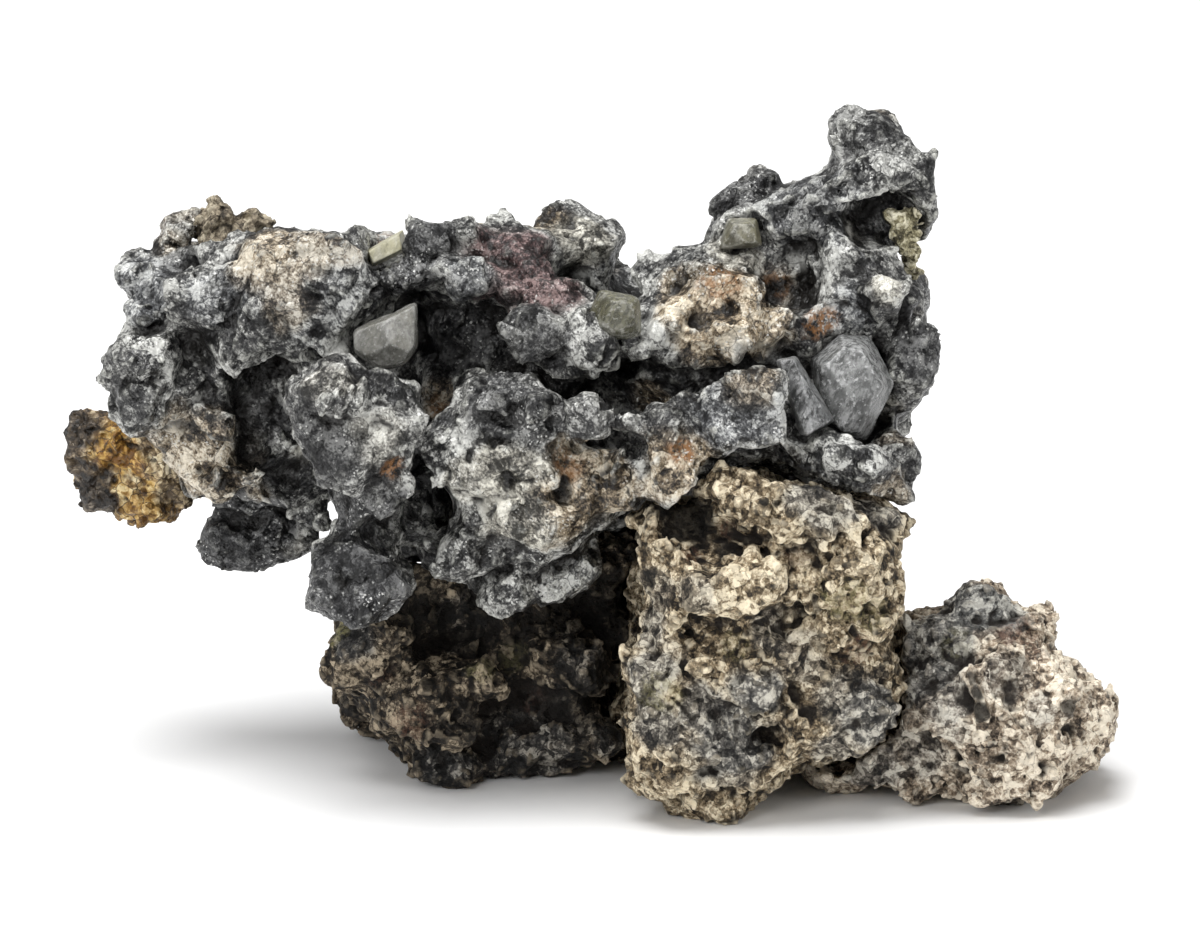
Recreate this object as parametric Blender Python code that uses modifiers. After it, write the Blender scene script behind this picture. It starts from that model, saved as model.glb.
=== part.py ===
"""A native lead specimen, 53 mm long: one branching mass of lead that grips crusted matrix and crystals.

Lengths are in millimetres until the last step, which scales the finished meshes to metres.
The forms are laid out on the display view, which looks down at DISPLAY_TILT on the front of the
specimen: ACROSS runs to the right and UP runs up that view, from a point on the table below the
middle, and DEPTH is the level distance away from the viewer. seen() turns the three into a point.
The specimen rests on the table, z = 0, and its origin is below the middle of its box.
"""

from math import cos, radians, sin, sqrt, tau
from random import Random

import bmesh
import bpy
import numpy as np
from mathutils import Euler, Matrix, Vector

# Driving dimensions
MM = 0.001
DISPLAY_TILT = radians(15)
GAP = 0.4  # between neighbouring pieces, before thinning out takes up to a third of it
VOXEL = 0.26  # the grid that lumps are fused on
KNOB_ROOM = 0.2  # what a body's outline gives up to the knobs that stand on it
LUMP_FLATS = 13  # flat faces cut on each lump
TABLE = (90, 90, 20)  # the block below z = 0 that planes the resting spots flat

# The lead's bodies: outline as (across, up), front and back depth, edge radius, and how much
# deeper the body gets for each mm across and up.
LEAD_BODIES = (
    (
        "upper left body",
        ((-23.2, 24.0), (-22.8, 25.6), (-20.6, 26.4), (-19.4, 27.0), (-17.2, 27.6), (-13.0, 27.4),
         (-8.0, 27.2), (-5.2, 26.6), (-4.8, 24.4), (-6.6, 23.8), (-9.6, 23.6), (-10.6, 20.4),
         (-12.4, 17.8), (-12.9, 13.2), (-15.6, 13.9), (-18.6, 14.0), (-20.6, 15.4), (-22.6, 18.2),
         (-23.6, 20.6), (-22.6, 22.6)),
        -0.6, 8.0, 1.5, (-0.1, 0.1),
    ),
    (
        "hook",
        ((-15.0, 19.2), (-14.2, 20.3), (-13.0, 20.9), (-11.9, 20.7), (-11.1, 20.1), (-9.9, 20.2),
         (-9.1, 19.2), (-8.2, 17.7), (-8.4, 16.4), (-8.8, 15.0), (-8.9, 13.8), (-9.8, 13.0),
         (-10.4, 12.0), (-9.5, 11.1), (-8.9, 10.0), (-9.4, 8.9), (-10.4, 8.1), (-11.7, 7.9),
         (-13.0, 8.6), (-13.9, 9.8), (-14.2, 11.2), (-13.6, 12.0), (-12.6, 12.6), (-12.7, 13.6),
         (-13.5, 14.9), (-14.4, 16.0), (-15.0, 17.2)),
        -8.6, -3.4, 1.1, (-0.05, 0.0),
    ),
    (
        "centre lobe",
        ((-8.0, 16.9), (-7.5, 17.8), (-6.6, 18.7), (-6.1, 19.9), (-5.3, 20.5), (-4.3, 19.6),
         (-2.8, 19.8), (-1.5, 19.1), (-1.0, 17.4), (0.6, 16.5), (2.2, 16.2), (2.2, 14.4),
         (2.0, 13.2), (0.9, 12.2), (-0.6, 11.1), (-2.4, 10.4), (-4.0, 10.8), (-5.8, 9.9),
         (-6.8, 9.6), (-8.2, 11.0), (-8.5, 11.9), (-7.2, 12.9), (-7.0, 14.1), (-7.9, 15.2)),
        -7.2, 1.5, 1.2, (0.06, 0.1),
    ),
    (
        "right slab",
        ((1.0, 17.6), (2.1, 18.4), (3.3, 18.9), (4.6, 19.3), (6.3, 19.8), (8.0, 20.4), (9.3, 20.2),
         (10.0, 19.5), (9.9, 18.2), (9.5, 16.8), (8.4, 15.6), (6.9, 15.2), (6.4, 13.5), (5.3, 13.6),
         (4.0, 13.4), (2.8, 14.0), (2.3, 15.2), (2.2, 16.4)),
        -8.4, -3.2, 1.0, (0.0, 0.12),
    ),
    (
        "right body",
        ((1.6, 20.8), (2.0, 23.6), (2.4, 25.4), (3.4, 26.1), (5.0, 26.4), (8.0, 26.6), (12.0, 26.8),
         (15.6, 25.6), (16.2, 24.0), (15.6, 22.8), (17.2, 22.4), (17.4, 21.2), (17.3, 20.0),
         (16.6, 18.8), (15.6, 17.2), (15.9, 14.0), (12.0, 13.6), (8.0, 14.0), (5.0, 16.0),
         (1.8, 17.6)),
        -1.6, 7.0, 1.3, (0.05, 0.12),
    ),
    (
        "tower",
        ((5.2, 26.4), (5.6, 27.2), (5.9, 28.1), (6.5, 29.1), (7.7, 29.9), (9.3, 30.0), (10.5, 30.1),
         (11.3, 30.7), (11.6, 31.8), (11.8, 33.1), (12.2, 33.4), (14.0, 33.4), (15.0, 32.9),
         (15.9, 32.2), (16.5, 31.2), (17.1, 29.7), (17.0, 28.3), (16.5, 27.2), (15.4, 26.2),
         (12.6, 25.6), (9.6, 25.4), (7.0, 25.8)),
        1.2, 6.2, 1.1, (-0.16, 0.05),
    ),
    (
        "hanging lobe",
        ((-4.4, 23.3), (-2.8, 23.4), (-1.6, 23.2), (-0.6, 23.8), (0.4, 24.2), (1.6, 24.0),
         (2.3, 23.0), (2.3, 21.9), (1.6, 21.1), (0.8, 20.4), (-0.4, 19.8), (-1.6, 19.8),
         (-3.0, 20.4), (-4.0, 21.6)),
        -4.8, 3.0, 1.1, (-0.05, 0.15),
    ),
)

# Lumps: name, centre as (across, up, depth), half sizes as (width, depth, height), clockwise roll
# in degrees as seen from the front, and squareness (2 is an ellipsoid, 4 is nearly a block).
LEAD_LUMPS = (
    ("left head", (-21.5, 24.6, 3.4), (2.0, 2.3, 1.7), 8, 3.0),
    ("left head step", (-22.3, 23.9, 2.6), (1.2, 1.8, 0.9), 12, 3.2),
    ("dark cube", (-20.3, 27.2, 5.2), (0.75, 0.9, 1.0), 6, 4.0),
    ("dark cube foot", (-21.3, 26.5, 4.6), (0.5, 0.8, 0.5), 0, 3.0),
    ("left neck", (-21.2, 22.5, 2.4), (1.9, 2.6, 1.2), -20, 2.6),
    ("left shoulder", (-22.1, 20.6, 0.2), (2.1, 2.6, 2.0), 10, 2.8),
    ("left elbow", (-22.4, 18.7, -0.3), (1.4, 1.8, 1.4), 0, 2.6),
    ("left chest", (-19.2, 23.9, -0.4), (1.9, 1.6, 1.5), -25, 3.0),
    ("left rib", (-17.4, 21.9, -1.0), (1.8, 1.4, 1.6), -35, 3.0),
    ("left brow", (-13.9, 24.3, -2.0), (3.2, 2.2, 2.5), -12, 3.2),
    ("left brow cap", (-15.3, 26.0, -0.6), (2.0, 1.8, 1.2), -20, 3.0),
    ("left brow jaw", (-13.0, 22.3, -2.4), (1.8, 1.4, 1.0), 8, 3.0),
    ("left belly", (-18.4, 17.2, 1.6), (3.2, 2.4, 2.6), 25, 2.8),
    ("left keel", (-18.2, 14.9, 3.0), (2.4, 2.2, 1.1), 18, 3.4),
    ("slanting ledge", (-14.4, 13.2, 2.2), (2.5, 1.9, 0.75), 26, 3.6),
    ("under chunk", (-17.9, 12.3, 4.6), (1.6, 1.6, 1.6), 6, 3.6),
    ("under chunk tip", (-15.4, 11.8, 4.0), (1.6, 1.2, 0.7), 4, 2.8),
    ("under chunk root", (-16.6, 13.2, 5.4), (2.4, 1.6, 1.3), 6, 2.8),
    ("hook head", (-13.7, 18.4, -8.6), (1.4, 1.1, 1.9), -8, 3.0),
    ("hook brow", (-12.4, 19.8, -8.4), (1.3, 1.3, 1.2), -25, 3.0),
    ("hook cheek", (-10.3, 18.0, -8.4), (1.9, 1.2, 1.8), 40, 3.4),
    ("hook spine", (-12.2, 16.0, -8.9), (1.6, 1.1, 1.6), 30, 3.0),
    ("hook fist", (-11.6, 10.1, -8.4), (2.4, 1.9, 2.1), 15, 3.0),
    ("centre left cheek", (-6.6, 15.8, -7.0), (1.3, 1.3, 2.2), -8, 3.0),
    ("centre brow", (-5.0, 18.6, -7.0), (1.5, 1.4, 1.5), 12, 3.0),
    ("centre knob", (-2.7, 18.4, -7.2), (1.5, 1.2, 1.4), -10, 3.0),
    ("little knob", (-0.1, 18.0, -7.8), (1.05, 1.1, 1.4), 10, 3.2),
    ("centre face", (-3.6, 15.2, -7.6), (2.0, 1.3, 1.3), -18, 3.2),
    ("centre chin", (-3.0, 12.9, -7.4), (2.2, 1.6, 1.2), 8, 3.2),
    ("centre right cheek", (0.6, 14.8, -6.6), (1.7, 1.5, 1.7), 0, 3.0),
    ("centre lower knob", (-7.2, 11.4, -6.4), (1.3, 1.4, 1.4), 10, 3.0),
    ("centre keel", (-2.6, 10.2, -3.0), (3.2, 3.0, 1.4), -22, 2.8),
    ("slab ridge", (7.6, 19.6, -7.8), (2.2, 1.3, 0.9), -8, 3.0),
    ("slab face", (7.2, 18.0, -8.2), (2.3, 1.2, 1.5), 12, 3.2),
    ("slab saddle", (2.8, 17.6, -7.4), (1.6, 1.2, 1.1), -14, 3.0),
    ("slab jowl", (4.0, 15.2, -8.0), (1.6, 1.2, 1.4), 20, 3.0),
    ("right shoulder", (12.4, 16.0, -6.0), (2.6, 2.2, 1.3), 14, 3.0),
    ("right shoulder cap", (14.6, 15.6, -4.0), (1.6, 2.4, 1.9), 20, 3.0),
    ("right ear", (15.8, 16.4, -2.4), (0.7, 1.2, 1.0), 10, 3.0),
    ("right wedge", (15.9, 20.6, -0.8), (1.6, 2.2, 2.2), 12, 3.6),
    ("right spike", (15.3, 24.1, -0.4), (1.9, 1.2, 0.7), 8, 2.2),
    ("right flank", (12.6, 23.4, -1.8), (2.0, 1.6, 1.8), -15, 3.0),
    ("right temple", (13.3, 26.4, 0.0), (1.9, 1.8, 1.5), 20, 3.0),
    ("right cheek", (7.0, 23.6, -2.6), (2.6, 1.6, 1.9), -12, 2.8),
    ("right jaw", (9.6, 22.2, -2.6), (2.2, 1.6, 1.4), 10, 2.8),
    ("right cheek low", (4.0, 21.9, -3.2), (2.2, 1.7, 1.7), 10, 2.8),
    ("right cheek middle", (6.9, 21.9, -4.2), (1.7, 1.2, 1.4), -8, 2.8),
    ("right underside", (5.6, 20.4, -1.0), (4.6, 2.4, 1.1), -4, 2.8),
    ("right bridge", (5.4, 25.8, -0.2), (1.4, 1.2, 0.6), -14, 3.6),
    ("right saddle", (3.6, 25.5, 1.4), (1.3, 1.6, 0.9), 0, 3.0),
    ("tower cap", (13.7, 31.9, 3.2), (1.9, 2.2, 1.2), 10, 4.2),
    ("tower neck", (15.2, 29.8, 2.2), (1.8, 2.0, 2.2), -20, 3.0),
    ("tower arm", (10.7, 28.5, 0.4), (4.7, 1.5, 1.35), -27, 3.4),
    ("tower back arm", (7.9, 28.6, 4.4), (1.7, 1.7, 0.9), -22, 2.8),
    ("tower button", (8.5, 30.1, 5.0), (0.6, 0.7, 0.4), 0, 2.6),
    ("tower hood", (15.8, 28.8, 3.4), (1.1, 2.2, 1.8), 10, 2.8),
    ("ridge round", (-8.3, 26.7, 0.4), (1.4, 1.5, 1.2), 0, 2.8),
    ("ridge low round", (-9.2, 25.3, -1.0), (1.2, 1.2, 1.0), 0, 2.6),
    ("ridge pale lump", (-6.0, 24.9, -1.6), (1.6, 1.4, 1.0), 22, 3.0),
    ("ridge red lump", (-3.6, 25.6, 1.6), (2.6, 2.2, 1.9), 25, 3.2),
    ("ridge white lump", (-0.5, 26.3, 4.0), (2.5, 2.5, 1.9), 26, 2.8),
    ("ridge back left", (-12.0, 26.2, 5.0), (3.6, 2.6, 1.0), 2, 2.6),
    ("ridge back right", (-5.6, 25.9, 5.2), (3.0, 2.6, 1.1), 0, 2.6),
    ("hanging left", (-2.9, 22.0, -4.9), (1.5, 1.0, 1.4), 30, 3.0),
    ("hanging right", (0.7, 22.2, -4.8), (1.7, 1.2, 1.9), 30, 2.8),
    ("hanging chin", (-0.9, 20.9, -4.8), (1.9, 1.0, 1.0), 0, 2.8),
    ("plate lower edge", (-2.6, 24.4, -1.8), (2.3, 1.4, 1.3), 12, 3.4),
    ("plate upper edge", (-4.9, 26.4, 0.0), (2.0, 1.4, 0.9), 20, 3.4),
    ("neck backing", (-9.2, 12.4, 2.4), (2.8, 2.4, 2.6), 0, 2.8),
    ("gully wall", (-3.0, 20.6, 4.4), (7.4, 3.0, 4.6), 0, 2.6),
    ("gully root", (-5.2, 20.8, -1.4), (0.7, 1.0, 1.1), 8, 2.8),
    ("hook root", (-11.2, 18.6, -3.6), (2.2, 4.0, 1.8), 0, 2.4),
    ("hook lower root", (-10.6, 12.6, -3.2), (1.8, 3.4, 2.2), 0, 2.4),
    ("slab root", (8.6, 18.0, -3.4), (2.6, 4.0, 2.0), 0, 2.4),
    ("back boulder left", (-14.0, 19.8, 7.4), (7.0, 4.4, 5.2), 12, 2.8),
    ("back boulder middle", (-2.0, 17.0, 7.4), (8.4, 5.0, 7.0), -10, 2.8),
    ("back boulder right", (10.0, 20.6, 6.4), (6.4, 4.6, 5.6), 8, 2.8),
    ("back knob high", (-6.4, 23.8, 9.6), (2.6, 2.4, 2.2), 0, 3.0),
    ("back knob left", (-18.6, 19.4, 9.8), (2.4, 2.2, 2.4), 20, 3.2),
    ("back knob low", (-9.0, 14.0, 11.2), (2.8, 2.2, 2.4), -20, 3.0),
    ("back knob right", (5.2, 19.6, 11.4), (2.6, 2.0, 2.8), 30, 3.2),
    ("back ledge", (13.0, 18.0, 9.4), (2.8, 2.6, 1.6), -20, 3.4),
    ("hook plate outer", (-13.0, 19.3, -9.4), (0.45, 1.0, 1.3), -12, 3.6),
    ("hook plate inner", (-11.9, 19.4, -9.5), (0.45, 1.0, 1.2), -30, 3.6),
    ("hook facet", (-10.5, 17.7, -9.3), (1.5, 0.7, 1.1), 48, 4.0),
    ("tower fin", (12.0, 25.6, -1.4), (0.5, 0.9, 1.6), 6, 3.2),
    ("tower left strut", (12.2, 27.2, -1.2), (1.3, 0.8, 0.5), 40, 3.0),
    ("tower right strut", (14.2, 26.6, -1.2), (1.2, 0.8, 0.45), -50, 3.0),
    ("right grey bar", (14.2, 24.1, -2.2), (1.4, 0.8, 0.8), 18, 3.6),
    ("brow plate", (-13.2, 25.2, -3.6), (1.9, 0.9, 1.3), -28, 4.0),
    ("chest plate", (-17.3, 24.6, -1.4), (1.2, 0.9, 0.8), 30, 4.0),
    ("back cap left", (-19.6, 24.8, 7.4), (2.6, 2.4, 1.8), 10, 3.0),
    ("back cap middle", (-10.0, 25.0, 8.0), (2.8, 2.0, 1.8), -12, 3.0),
    ("back cap right", (0.6, 23.8, 8.0), (3.0, 2.4, 2.2), 8, 3.0),
    ("back shoulder", (8.4, 25.6, 8.0), (3.0, 2.4, 2.0), -10, 3.0),
    ("back corner", (14.6, 23.2, 6.8), (2.2, 2.6, 2.2), 0, 3.0),
    ("back wall left", (-12.6, 21.0, 11.4), (2.8, 1.8, 2.6), 20, 3.2),
    ("back wall middle", (-3.2, 21.6, 11.8), (3.2, 1.8, 2.4), -18, 3.0),
    ("back wall low", (0.8, 14.6, 11.6), (2.8, 1.8, 2.6), 12, 3.0),
    ("back wall right", (10.8, 22.6, 10.4), (2.6, 1.8, 2.6), 25, 3.2),
    ("back low right", (13.0, 16.2, 6.4), (2.6, 2.4, 1.8), -15, 3.0),
    ("back low left", (-15.6, 15.8, 8.8), (2.6, 2.2, 2.2), 0, 3.0),
    ("back flake left", (-7.8, 18.2, 12.4), (2.0, 1.2, 2.8), -30, 3.8),
    ("back flake right", (6.0, 14.6, 11.2), (2.2, 1.4, 2.2), 40, 3.8),
    ("back flake top", (-15.6, 25.6, 6.4), (2.6, 1.6, 0.9), 14, 3.8),
)

LEAD_HOLLOWS = (
    ("left shadow", (-16.3, 18.2, -1.0), (1.6, 2.4, 2.6), 15, 2.6),
    ("left gully", (-15.0, 15.4, -0.4), (1.0, 2.2, 2.2), -25, 2.6),
    ("left notch", (-20.6, 25.6, 0.6), (1.2, 1.6, 0.5), 0, 2.6),
    ("tower hollow", (14.3, 28.0, 0.0), (1.0, 1.8, 1.2), -20, 2.6),
    ("ridge hollow", (-10.6, 24.0, -2.4), (0.8, 1.4, 0.8), 0, 2.6),
    ("slab cleft", (5.4, 19.9, -5.4), (4.6, 2.2, 0.45), -6, 2.6),
)

# The crusted matrix that the lead grips.
BLOCK_BODIES = (
    (
        "block",
        ((2.6, 13.6), (2.5, 11.2), (2.6, 9.2), (2.8, 7.6), (2.0, 6.7), (1.6, 5.4), (1.9, 4.0),
         (2.0, 2.6), (2.1, 0.2), (2.7, -0.7), (4.2, -1.2), (6.0, -1.4), (7.6, -1.0), (8.6, -0.3),
         (9.8, 0.4), (11.9, 0.7), (13.2, 1.1), (14.4, 1.7), (15.3, 3.0), (15.4, 5.0), (15.2, 6.6),
         (15.3, 8.6), (15.3, 10.2), (15.6, 11.6), (15.8, 13.2), (14.0, 14.4), (11.0, 14.6),
         (8.0, 15.4), (5.4, 14.2)),
        -9.4, -1.2, 1.5, (0.1, 0.12),
    ),
)
BLOCK_LUMPS = (
    ("block back", (7.6, 6.4, 3.4), (5.4, 4.8, 7.0), 8, 3.2),
    ("block back low", (8.6, 2.6, 4.6), (4.4, 4.2, 3.4), -10, 3.0),
    ("block back knob", (4.6, 7.0, 7.2), (2.2, 2.0, 2.4), 20, 3.0),
    ("block heel", (9.6, 3.4, 7.6), (2.6, 1.8, 2.4), 0, 3.0),
    ("block brow", (9.4, 13.4, -8.6), (3.4, 1.4, 1.6), 12, 3.0),
    ("block nodule", (11.8, 12.5, -8.8), (1.1, 1.0, 1.0), 0, 2.4),
    ("block middle", (7.0, 9.4, -9.8), (3.0, 1.2, 1.6), -12, 2.8),
    ("block right cheek", (12.8, 9.4, -8.6), (2.3, 1.2, 2.6), 5, 3.0),
    ("block left lip", (2.9, 5.5, -8.8), (1.3, 1.4, 1.3), 0, 3.0),
    ("block left column", (4.0, 10.6, -8.2), (1.5, 1.2, 2.4), 0, 3.0),
    ("block lower left", (4.6, 1.6, -8.8), (2.4, 2.0, 2.4), 0, 3.0),
    ("block lower right", (12.2, 3.8, -8.0), (2.9, 1.8, 2.4), -10, 3.0),
    ("block centre", (8.2, 5.2, -9.6), (2.6, 1.3, 2.2), 15, 2.8),
    ("block keel", (6.4, -0.2, -6.4), (2.6, 2.4, 1.6), -10, 2.8),
)
BLOCK_HOLLOWS = (
    ("block upper hollow", (4.4, 12.8, -9.6), (1.5, 1.3, 0.9), -15, 2.6),
    ("block left pit", (4.8, 7.4, -10.2), (0.9, 1.2, 0.7), 0, 2.6),
    ("block crack", (10.2, 4.2, -9.8), (2.2, 1.0, 0.4), 26, 2.6),
    ("block lower pit", (9.0, 1.9, -9.4), (1.2, 1.2, 0.7), -20, 2.6),
)
LOBE_BODIES = (
    (
        "lobe",
        ((14.6, 8.4), (16.4, 8.5), (17.4, 8.8), (18.4, 9.4), (19.5, 9.9), (20.4, 9.4), (21.0, 8.9),
         (22.4, 8.6), (23.0, 8.0), (22.9, 7.0), (23.9, 6.2), (25.0, 5.2), (26.0, 4.5), (26.4, 3.4),
         (26.1, 2.0), (25.6, 0.8), (24.6, -0.2), (23.2, -1.1), (21.0, -1.8), (19.4, -1.5),
         (17.6, -1.1), (16.0, -0.8), (14.2, -0.5), (13.0, -0.8), (11.4, -0.4), (10.6, 0.6),
         (11.0, 3.0), (13.0, 6.0)),
        -5.6, 2.4, 1.6, (0.05, 0.15),
    ),
)
LOBE_LUMPS = (
    ("lobe front", (20.6, 3.2, -6.0), (4.0, 2.2, 3.6), 20, 2.6),
    ("lobe right", (23.5, 3.0, -3.6), (2.4, 2.4, 2.4), 20, 2.6),
    ("lobe low roll", (21.4, 0.3, -6.4), (2.8, 1.6, 1.5), -10, 2.6),
    ("lobe upper right", (22.2, 7.8, -1.6), (1.2, 1.4, 1.0), 0, 3.0),
    ("lobe peak", (19.4, 8.4, -2.0), (2.0, 1.8, 1.4), 0, 3.0),
    ("lobe neck", (16.4, 6.4, -2.6), (1.6, 1.8, 2.0), 20, 2.6),
    ("lobe toe", (15.4, 0.6, -4.4), (2.4, 1.6, 1.2), 8, 2.6),
    ("lobe dark blade", (19.3, 4.2, -8.2), (0.5, 0.8, 1.5), -18, 3.4),
    ("lobe back", (19.6, 4.0, 2.4), (4.6, 3.0, 3.6), 0, 2.8),
)
RUBBLE_BODIES = (
    (
        "rubble",
        ((-12.8, 8.4), (-13.2, 6.4), (-12.8, 5.0), (-12.0, 4.0), (-11.1, 3.2), (-10.7, 2.2),
         (-9.4, 1.1), (-8.5, 0.2), (-6.3, -0.3), (-5.8, 0.6), (-3.6, 0.3), (-1.0, 0.4), (2.4, 1.0),
         (4.6, 2.0), (4.6, 9.0), (3.6, 12.4), (-0.6, 12.0), (-6.0, 11.0), (-10.4, 10.6)),
        0.0, 7.0, 1.3, (0.2, 0.05),
    ),
)
RUBBLE_LUMPS = (
    ("rubble left", (-11.8, 6.2, -1.0), (1.3, 1.6, 1.5), 8, 3.2),
    ("rubble front", (-8.3, 3.7, -1.8), (2.3, 1.8, 1.8), 25, 2.8),
    ("rubble ochre", (-10.6, 6.6, -1.4), (1.6, 1.5, 1.5), 0, 2.8),
    ("rubble toe", (-7.4, 0.7, -1.0), (1.5, 1.5, 1.2), 8, 3.0),
    ("rubble middle", (-6.0, 4.8, -1.2), (1.7, 1.6, 1.4), 0, 2.8),
    ("rubble shelf", (-2.4, 1.8, 0.4), (3.8, 1.8, 1.6), -4, 3.0),
    ("rubble recess", (-1.6, 5.4, 0.6), (2.6, 1.6, 1.8), 0, 2.8),
    ("rubble back left", (-8.4, 5.4, 7.2), (3.8, 2.8, 3.4), 0, 2.8),
    ("rubble heel", (-5.6, 3.2, 7.4), (3.4, 2.6, 2.6), 0, 2.8),
)
KNOB_LUMPS = (
    ("far knob", (-25.2, 16.8, 6.2), (1.35, 1.6, 1.6), 0, 2.6),
    ("far low knob", (-24.8, 14.6, 6.4), (1.1, 1.5, 1.5), -25, 2.6),
    ("honey upper left", (-23.3, 16.8, 5.2), (1.2, 1.4, 1.1), 20, 2.8),
    ("honey upper right", (-21.7, 16.7, 4.2), (1.0, 1.2, 1.1), -10, 2.6),
    ("honey wedge", (-21.8, 15.6, 4.8), (1.4, 1.3, 0.8), 25, 3.0),
    ("honey round", (-22.4, 14.2, 5.6), (1.75, 1.7, 1.6), 0, 2.5),
    ("honey root", (-20.8, 14.7, 5.8), (1.4, 1.6, 1.0), 15, 2.6),
)

TAN_LUMPS = (
    ("tan stem", (-18.8, 27.0, 4.4), (0.9, 1.1, 1.2), 10, 3.0),
    ("tan tip", (-18.4, 28.3, 4.6), (0.6, 0.8, 0.75), 0, 3.0),
    ("tan bud", (-19.3, 28.2, 4.8), (0.5, 0.6, 0.5), 0, 2.6),
    ("tan ledge", (-16.9, 27.6, 4.2), (1.1, 1.0, 0.6), -20, 3.0),
)
YELLOW_LUMPS = (
    ("yellow upper", (15.6, 27.6, 1.0), (0.9, 1.0, 0.9), 0, 2.6),
    ("yellow lower", (15.9, 26.5, 1.4), (0.7, 0.9, 0.8), 15, 2.6),
    ("yellow tail", (16.0, 25.5, 1.8), (0.5, 0.7, 0.7), 0, 2.6),
)

# Finishes: base colour, roughness, metallic.
LEAD = ((0.115, 0.12, 0.13), 0.5, 0.55)
CRUST = ((0.46, 0.39, 0.29), 0.85, 0.0)
BROWN = ((0.20, 0.155, 0.11), 0.85, 0.0)
HONEY = ((0.52, 0.38, 0.20), 0.6, 0.0)
GREY_CRYSTAL = ((0.34, 0.34, 0.31), 0.3, 0.0)
PALE_CRYSTAL = ((0.62, 0.58, 0.40), 0.35, 0.0)

# Single crystals and grains: name, centre, half sizes, roll, squareness, flat faces, finish.
CRYSTALS = (
    ("grey_grain", (-10.15, 21.95, -4.0), (1.75, 1.2, 1.6), 18, 2.4, 16, GREY_CRYSTAL),
    ("amber_grain", (1.35, 23.1, -5.0), (1.0, 1.0, 1.05), -20, 2.4, 14, HONEY),
    ("rimmed_crystal", (13.05, 19.4, -4.4), (1.5, 1.6, 2.05), -20, 2.8, 12, GREY_CRYSTAL),
    ("leaning_crystal", (10.45, 18.9, -6.3), (0.75, 1.0, 2.0), -16, 3.0, 10, GREY_CRYSTAL),
    ("yellow_grain", (7.6, 27.2, -0.6), (0.8, 0.8, 0.7), 0, 2.6, 11, PALE_CRYSTAL),
    ("pale_wedge", (-10.2, 26.4, 1.2), (1.05, 0.9, 0.6), -30, 3.2, 9, PALE_CRYSTAL),
    ("pale_round", (-5.6, 27.1, 3.2), (0.95, 1.0, 0.6), 0, 2.4, 12, PALE_CRYSTAL),
)

# Each fused piece: bodies, lumps, hollows, number and size of scattered knobs, triangles, finish.
PIECES = {
    "matrix_block": (BLOCK_BODIES, BLOCK_LUMPS, BLOCK_HOLLOWS, 150, 1.1, 2200, CRUST),
    "matrix_lobe": (LOBE_BODIES, LOBE_LUMPS, (), 70, 1.0, 1100, CRUST),
    "matrix_rubble": (RUBBLE_BODIES, RUBBLE_LUMPS, (), 60, 1.0, 1000, BROWN),
    "honey_knobs": ((), KNOB_LUMPS, (), 8, 0.6, 420, HONEY),
    "tan_crystals": ((), TAN_LUMPS, (), 4, 0.5, 170, CRUST),
    "yellow_crust": ((), YELLOW_LUMPS, (), 3, 0.4, 140, PALE_CRYSTAL),
    "lead_mass": (LEAD_BODIES, LEAD_LUMPS, LEAD_HOLLOWS, 90, 1.1, 4500, LEAD),
}


def clear_scene():
    for obj in list(bpy.data.objects):
        bpy.data.objects.remove(obj, do_unlink=True)


def seen(across, up, depth):
    """The world point, in mm, of a spot on the display view at a level depth."""
    return Vector((across, depth, (up - depth * sin(DISPLAY_TILT)) / cos(DISPLAY_TILT)))


def all_round(count, random):
    """Directions spread evenly over a sphere, each nudged a little, with the whole set turned."""
    turn = Euler([random.uniform(0, tau) for _ in range(3)]).to_matrix()
    for i in range(count):
        level = 1 - (2 * i + 1) / count
        ring = sqrt(1 - level * level)
        angle = tau * 0.618 * i + random.uniform(-0.4, 0.4)
        yield turn @ Vector((ring * cos(angle), ring * sin(angle), level))


def broken_block(seed, place, square, flats):
    """A lump with flat faces: a cube planed off all round.

    The flats lie on or just inside the rounded block |x|^s + |y|^s + |z|^s = 1, s being square.
    """
    random = Random(seed)
    power = square / (square - 1)
    bm = bmesh.new()
    bmesh.ops.create_cube(bm, size=2.2)
    for normal in all_round(flats, random):
        away = sum(abs(part) ** power for part in normal) ** (1 / power) * random.uniform(0.84, 1.0)
        every = bm.verts[:] + bm.edges[:] + bm.faces[:]
        bmesh.ops.bisect_plane(bm, geom=every, plane_co=normal * away, plane_no=normal, clear_outer=True)
        bmesh.ops.holes_fill(bm, edges=[edge for edge in bm.edges if edge.is_boundary])
    bm.transform(place)
    bmesh.ops.triangulate(bm, faces=bm.faces)
    bmesh.ops.recalc_face_normals(bm, faces=bm.faces)
    return bm


def placed(at, half, roll, more=0.0):
    """The matrix that gives a unit block its place, roll and half sizes, made larger by more."""
    sizes = [side + more for side in half]
    turn = Matrix.Rotation(radians(roll), 4, "Y")
    return Matrix.Translation(seen(*at)) @ turn @ Matrix.Diagonal((*sizes, 1))


def join(bm, other):
    mesh = bpy.data.meshes.new("joined")
    other.to_mesh(mesh)
    other.free()
    bm.from_mesh(mesh)
    bpy.data.meshes.remove(mesh)


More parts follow.
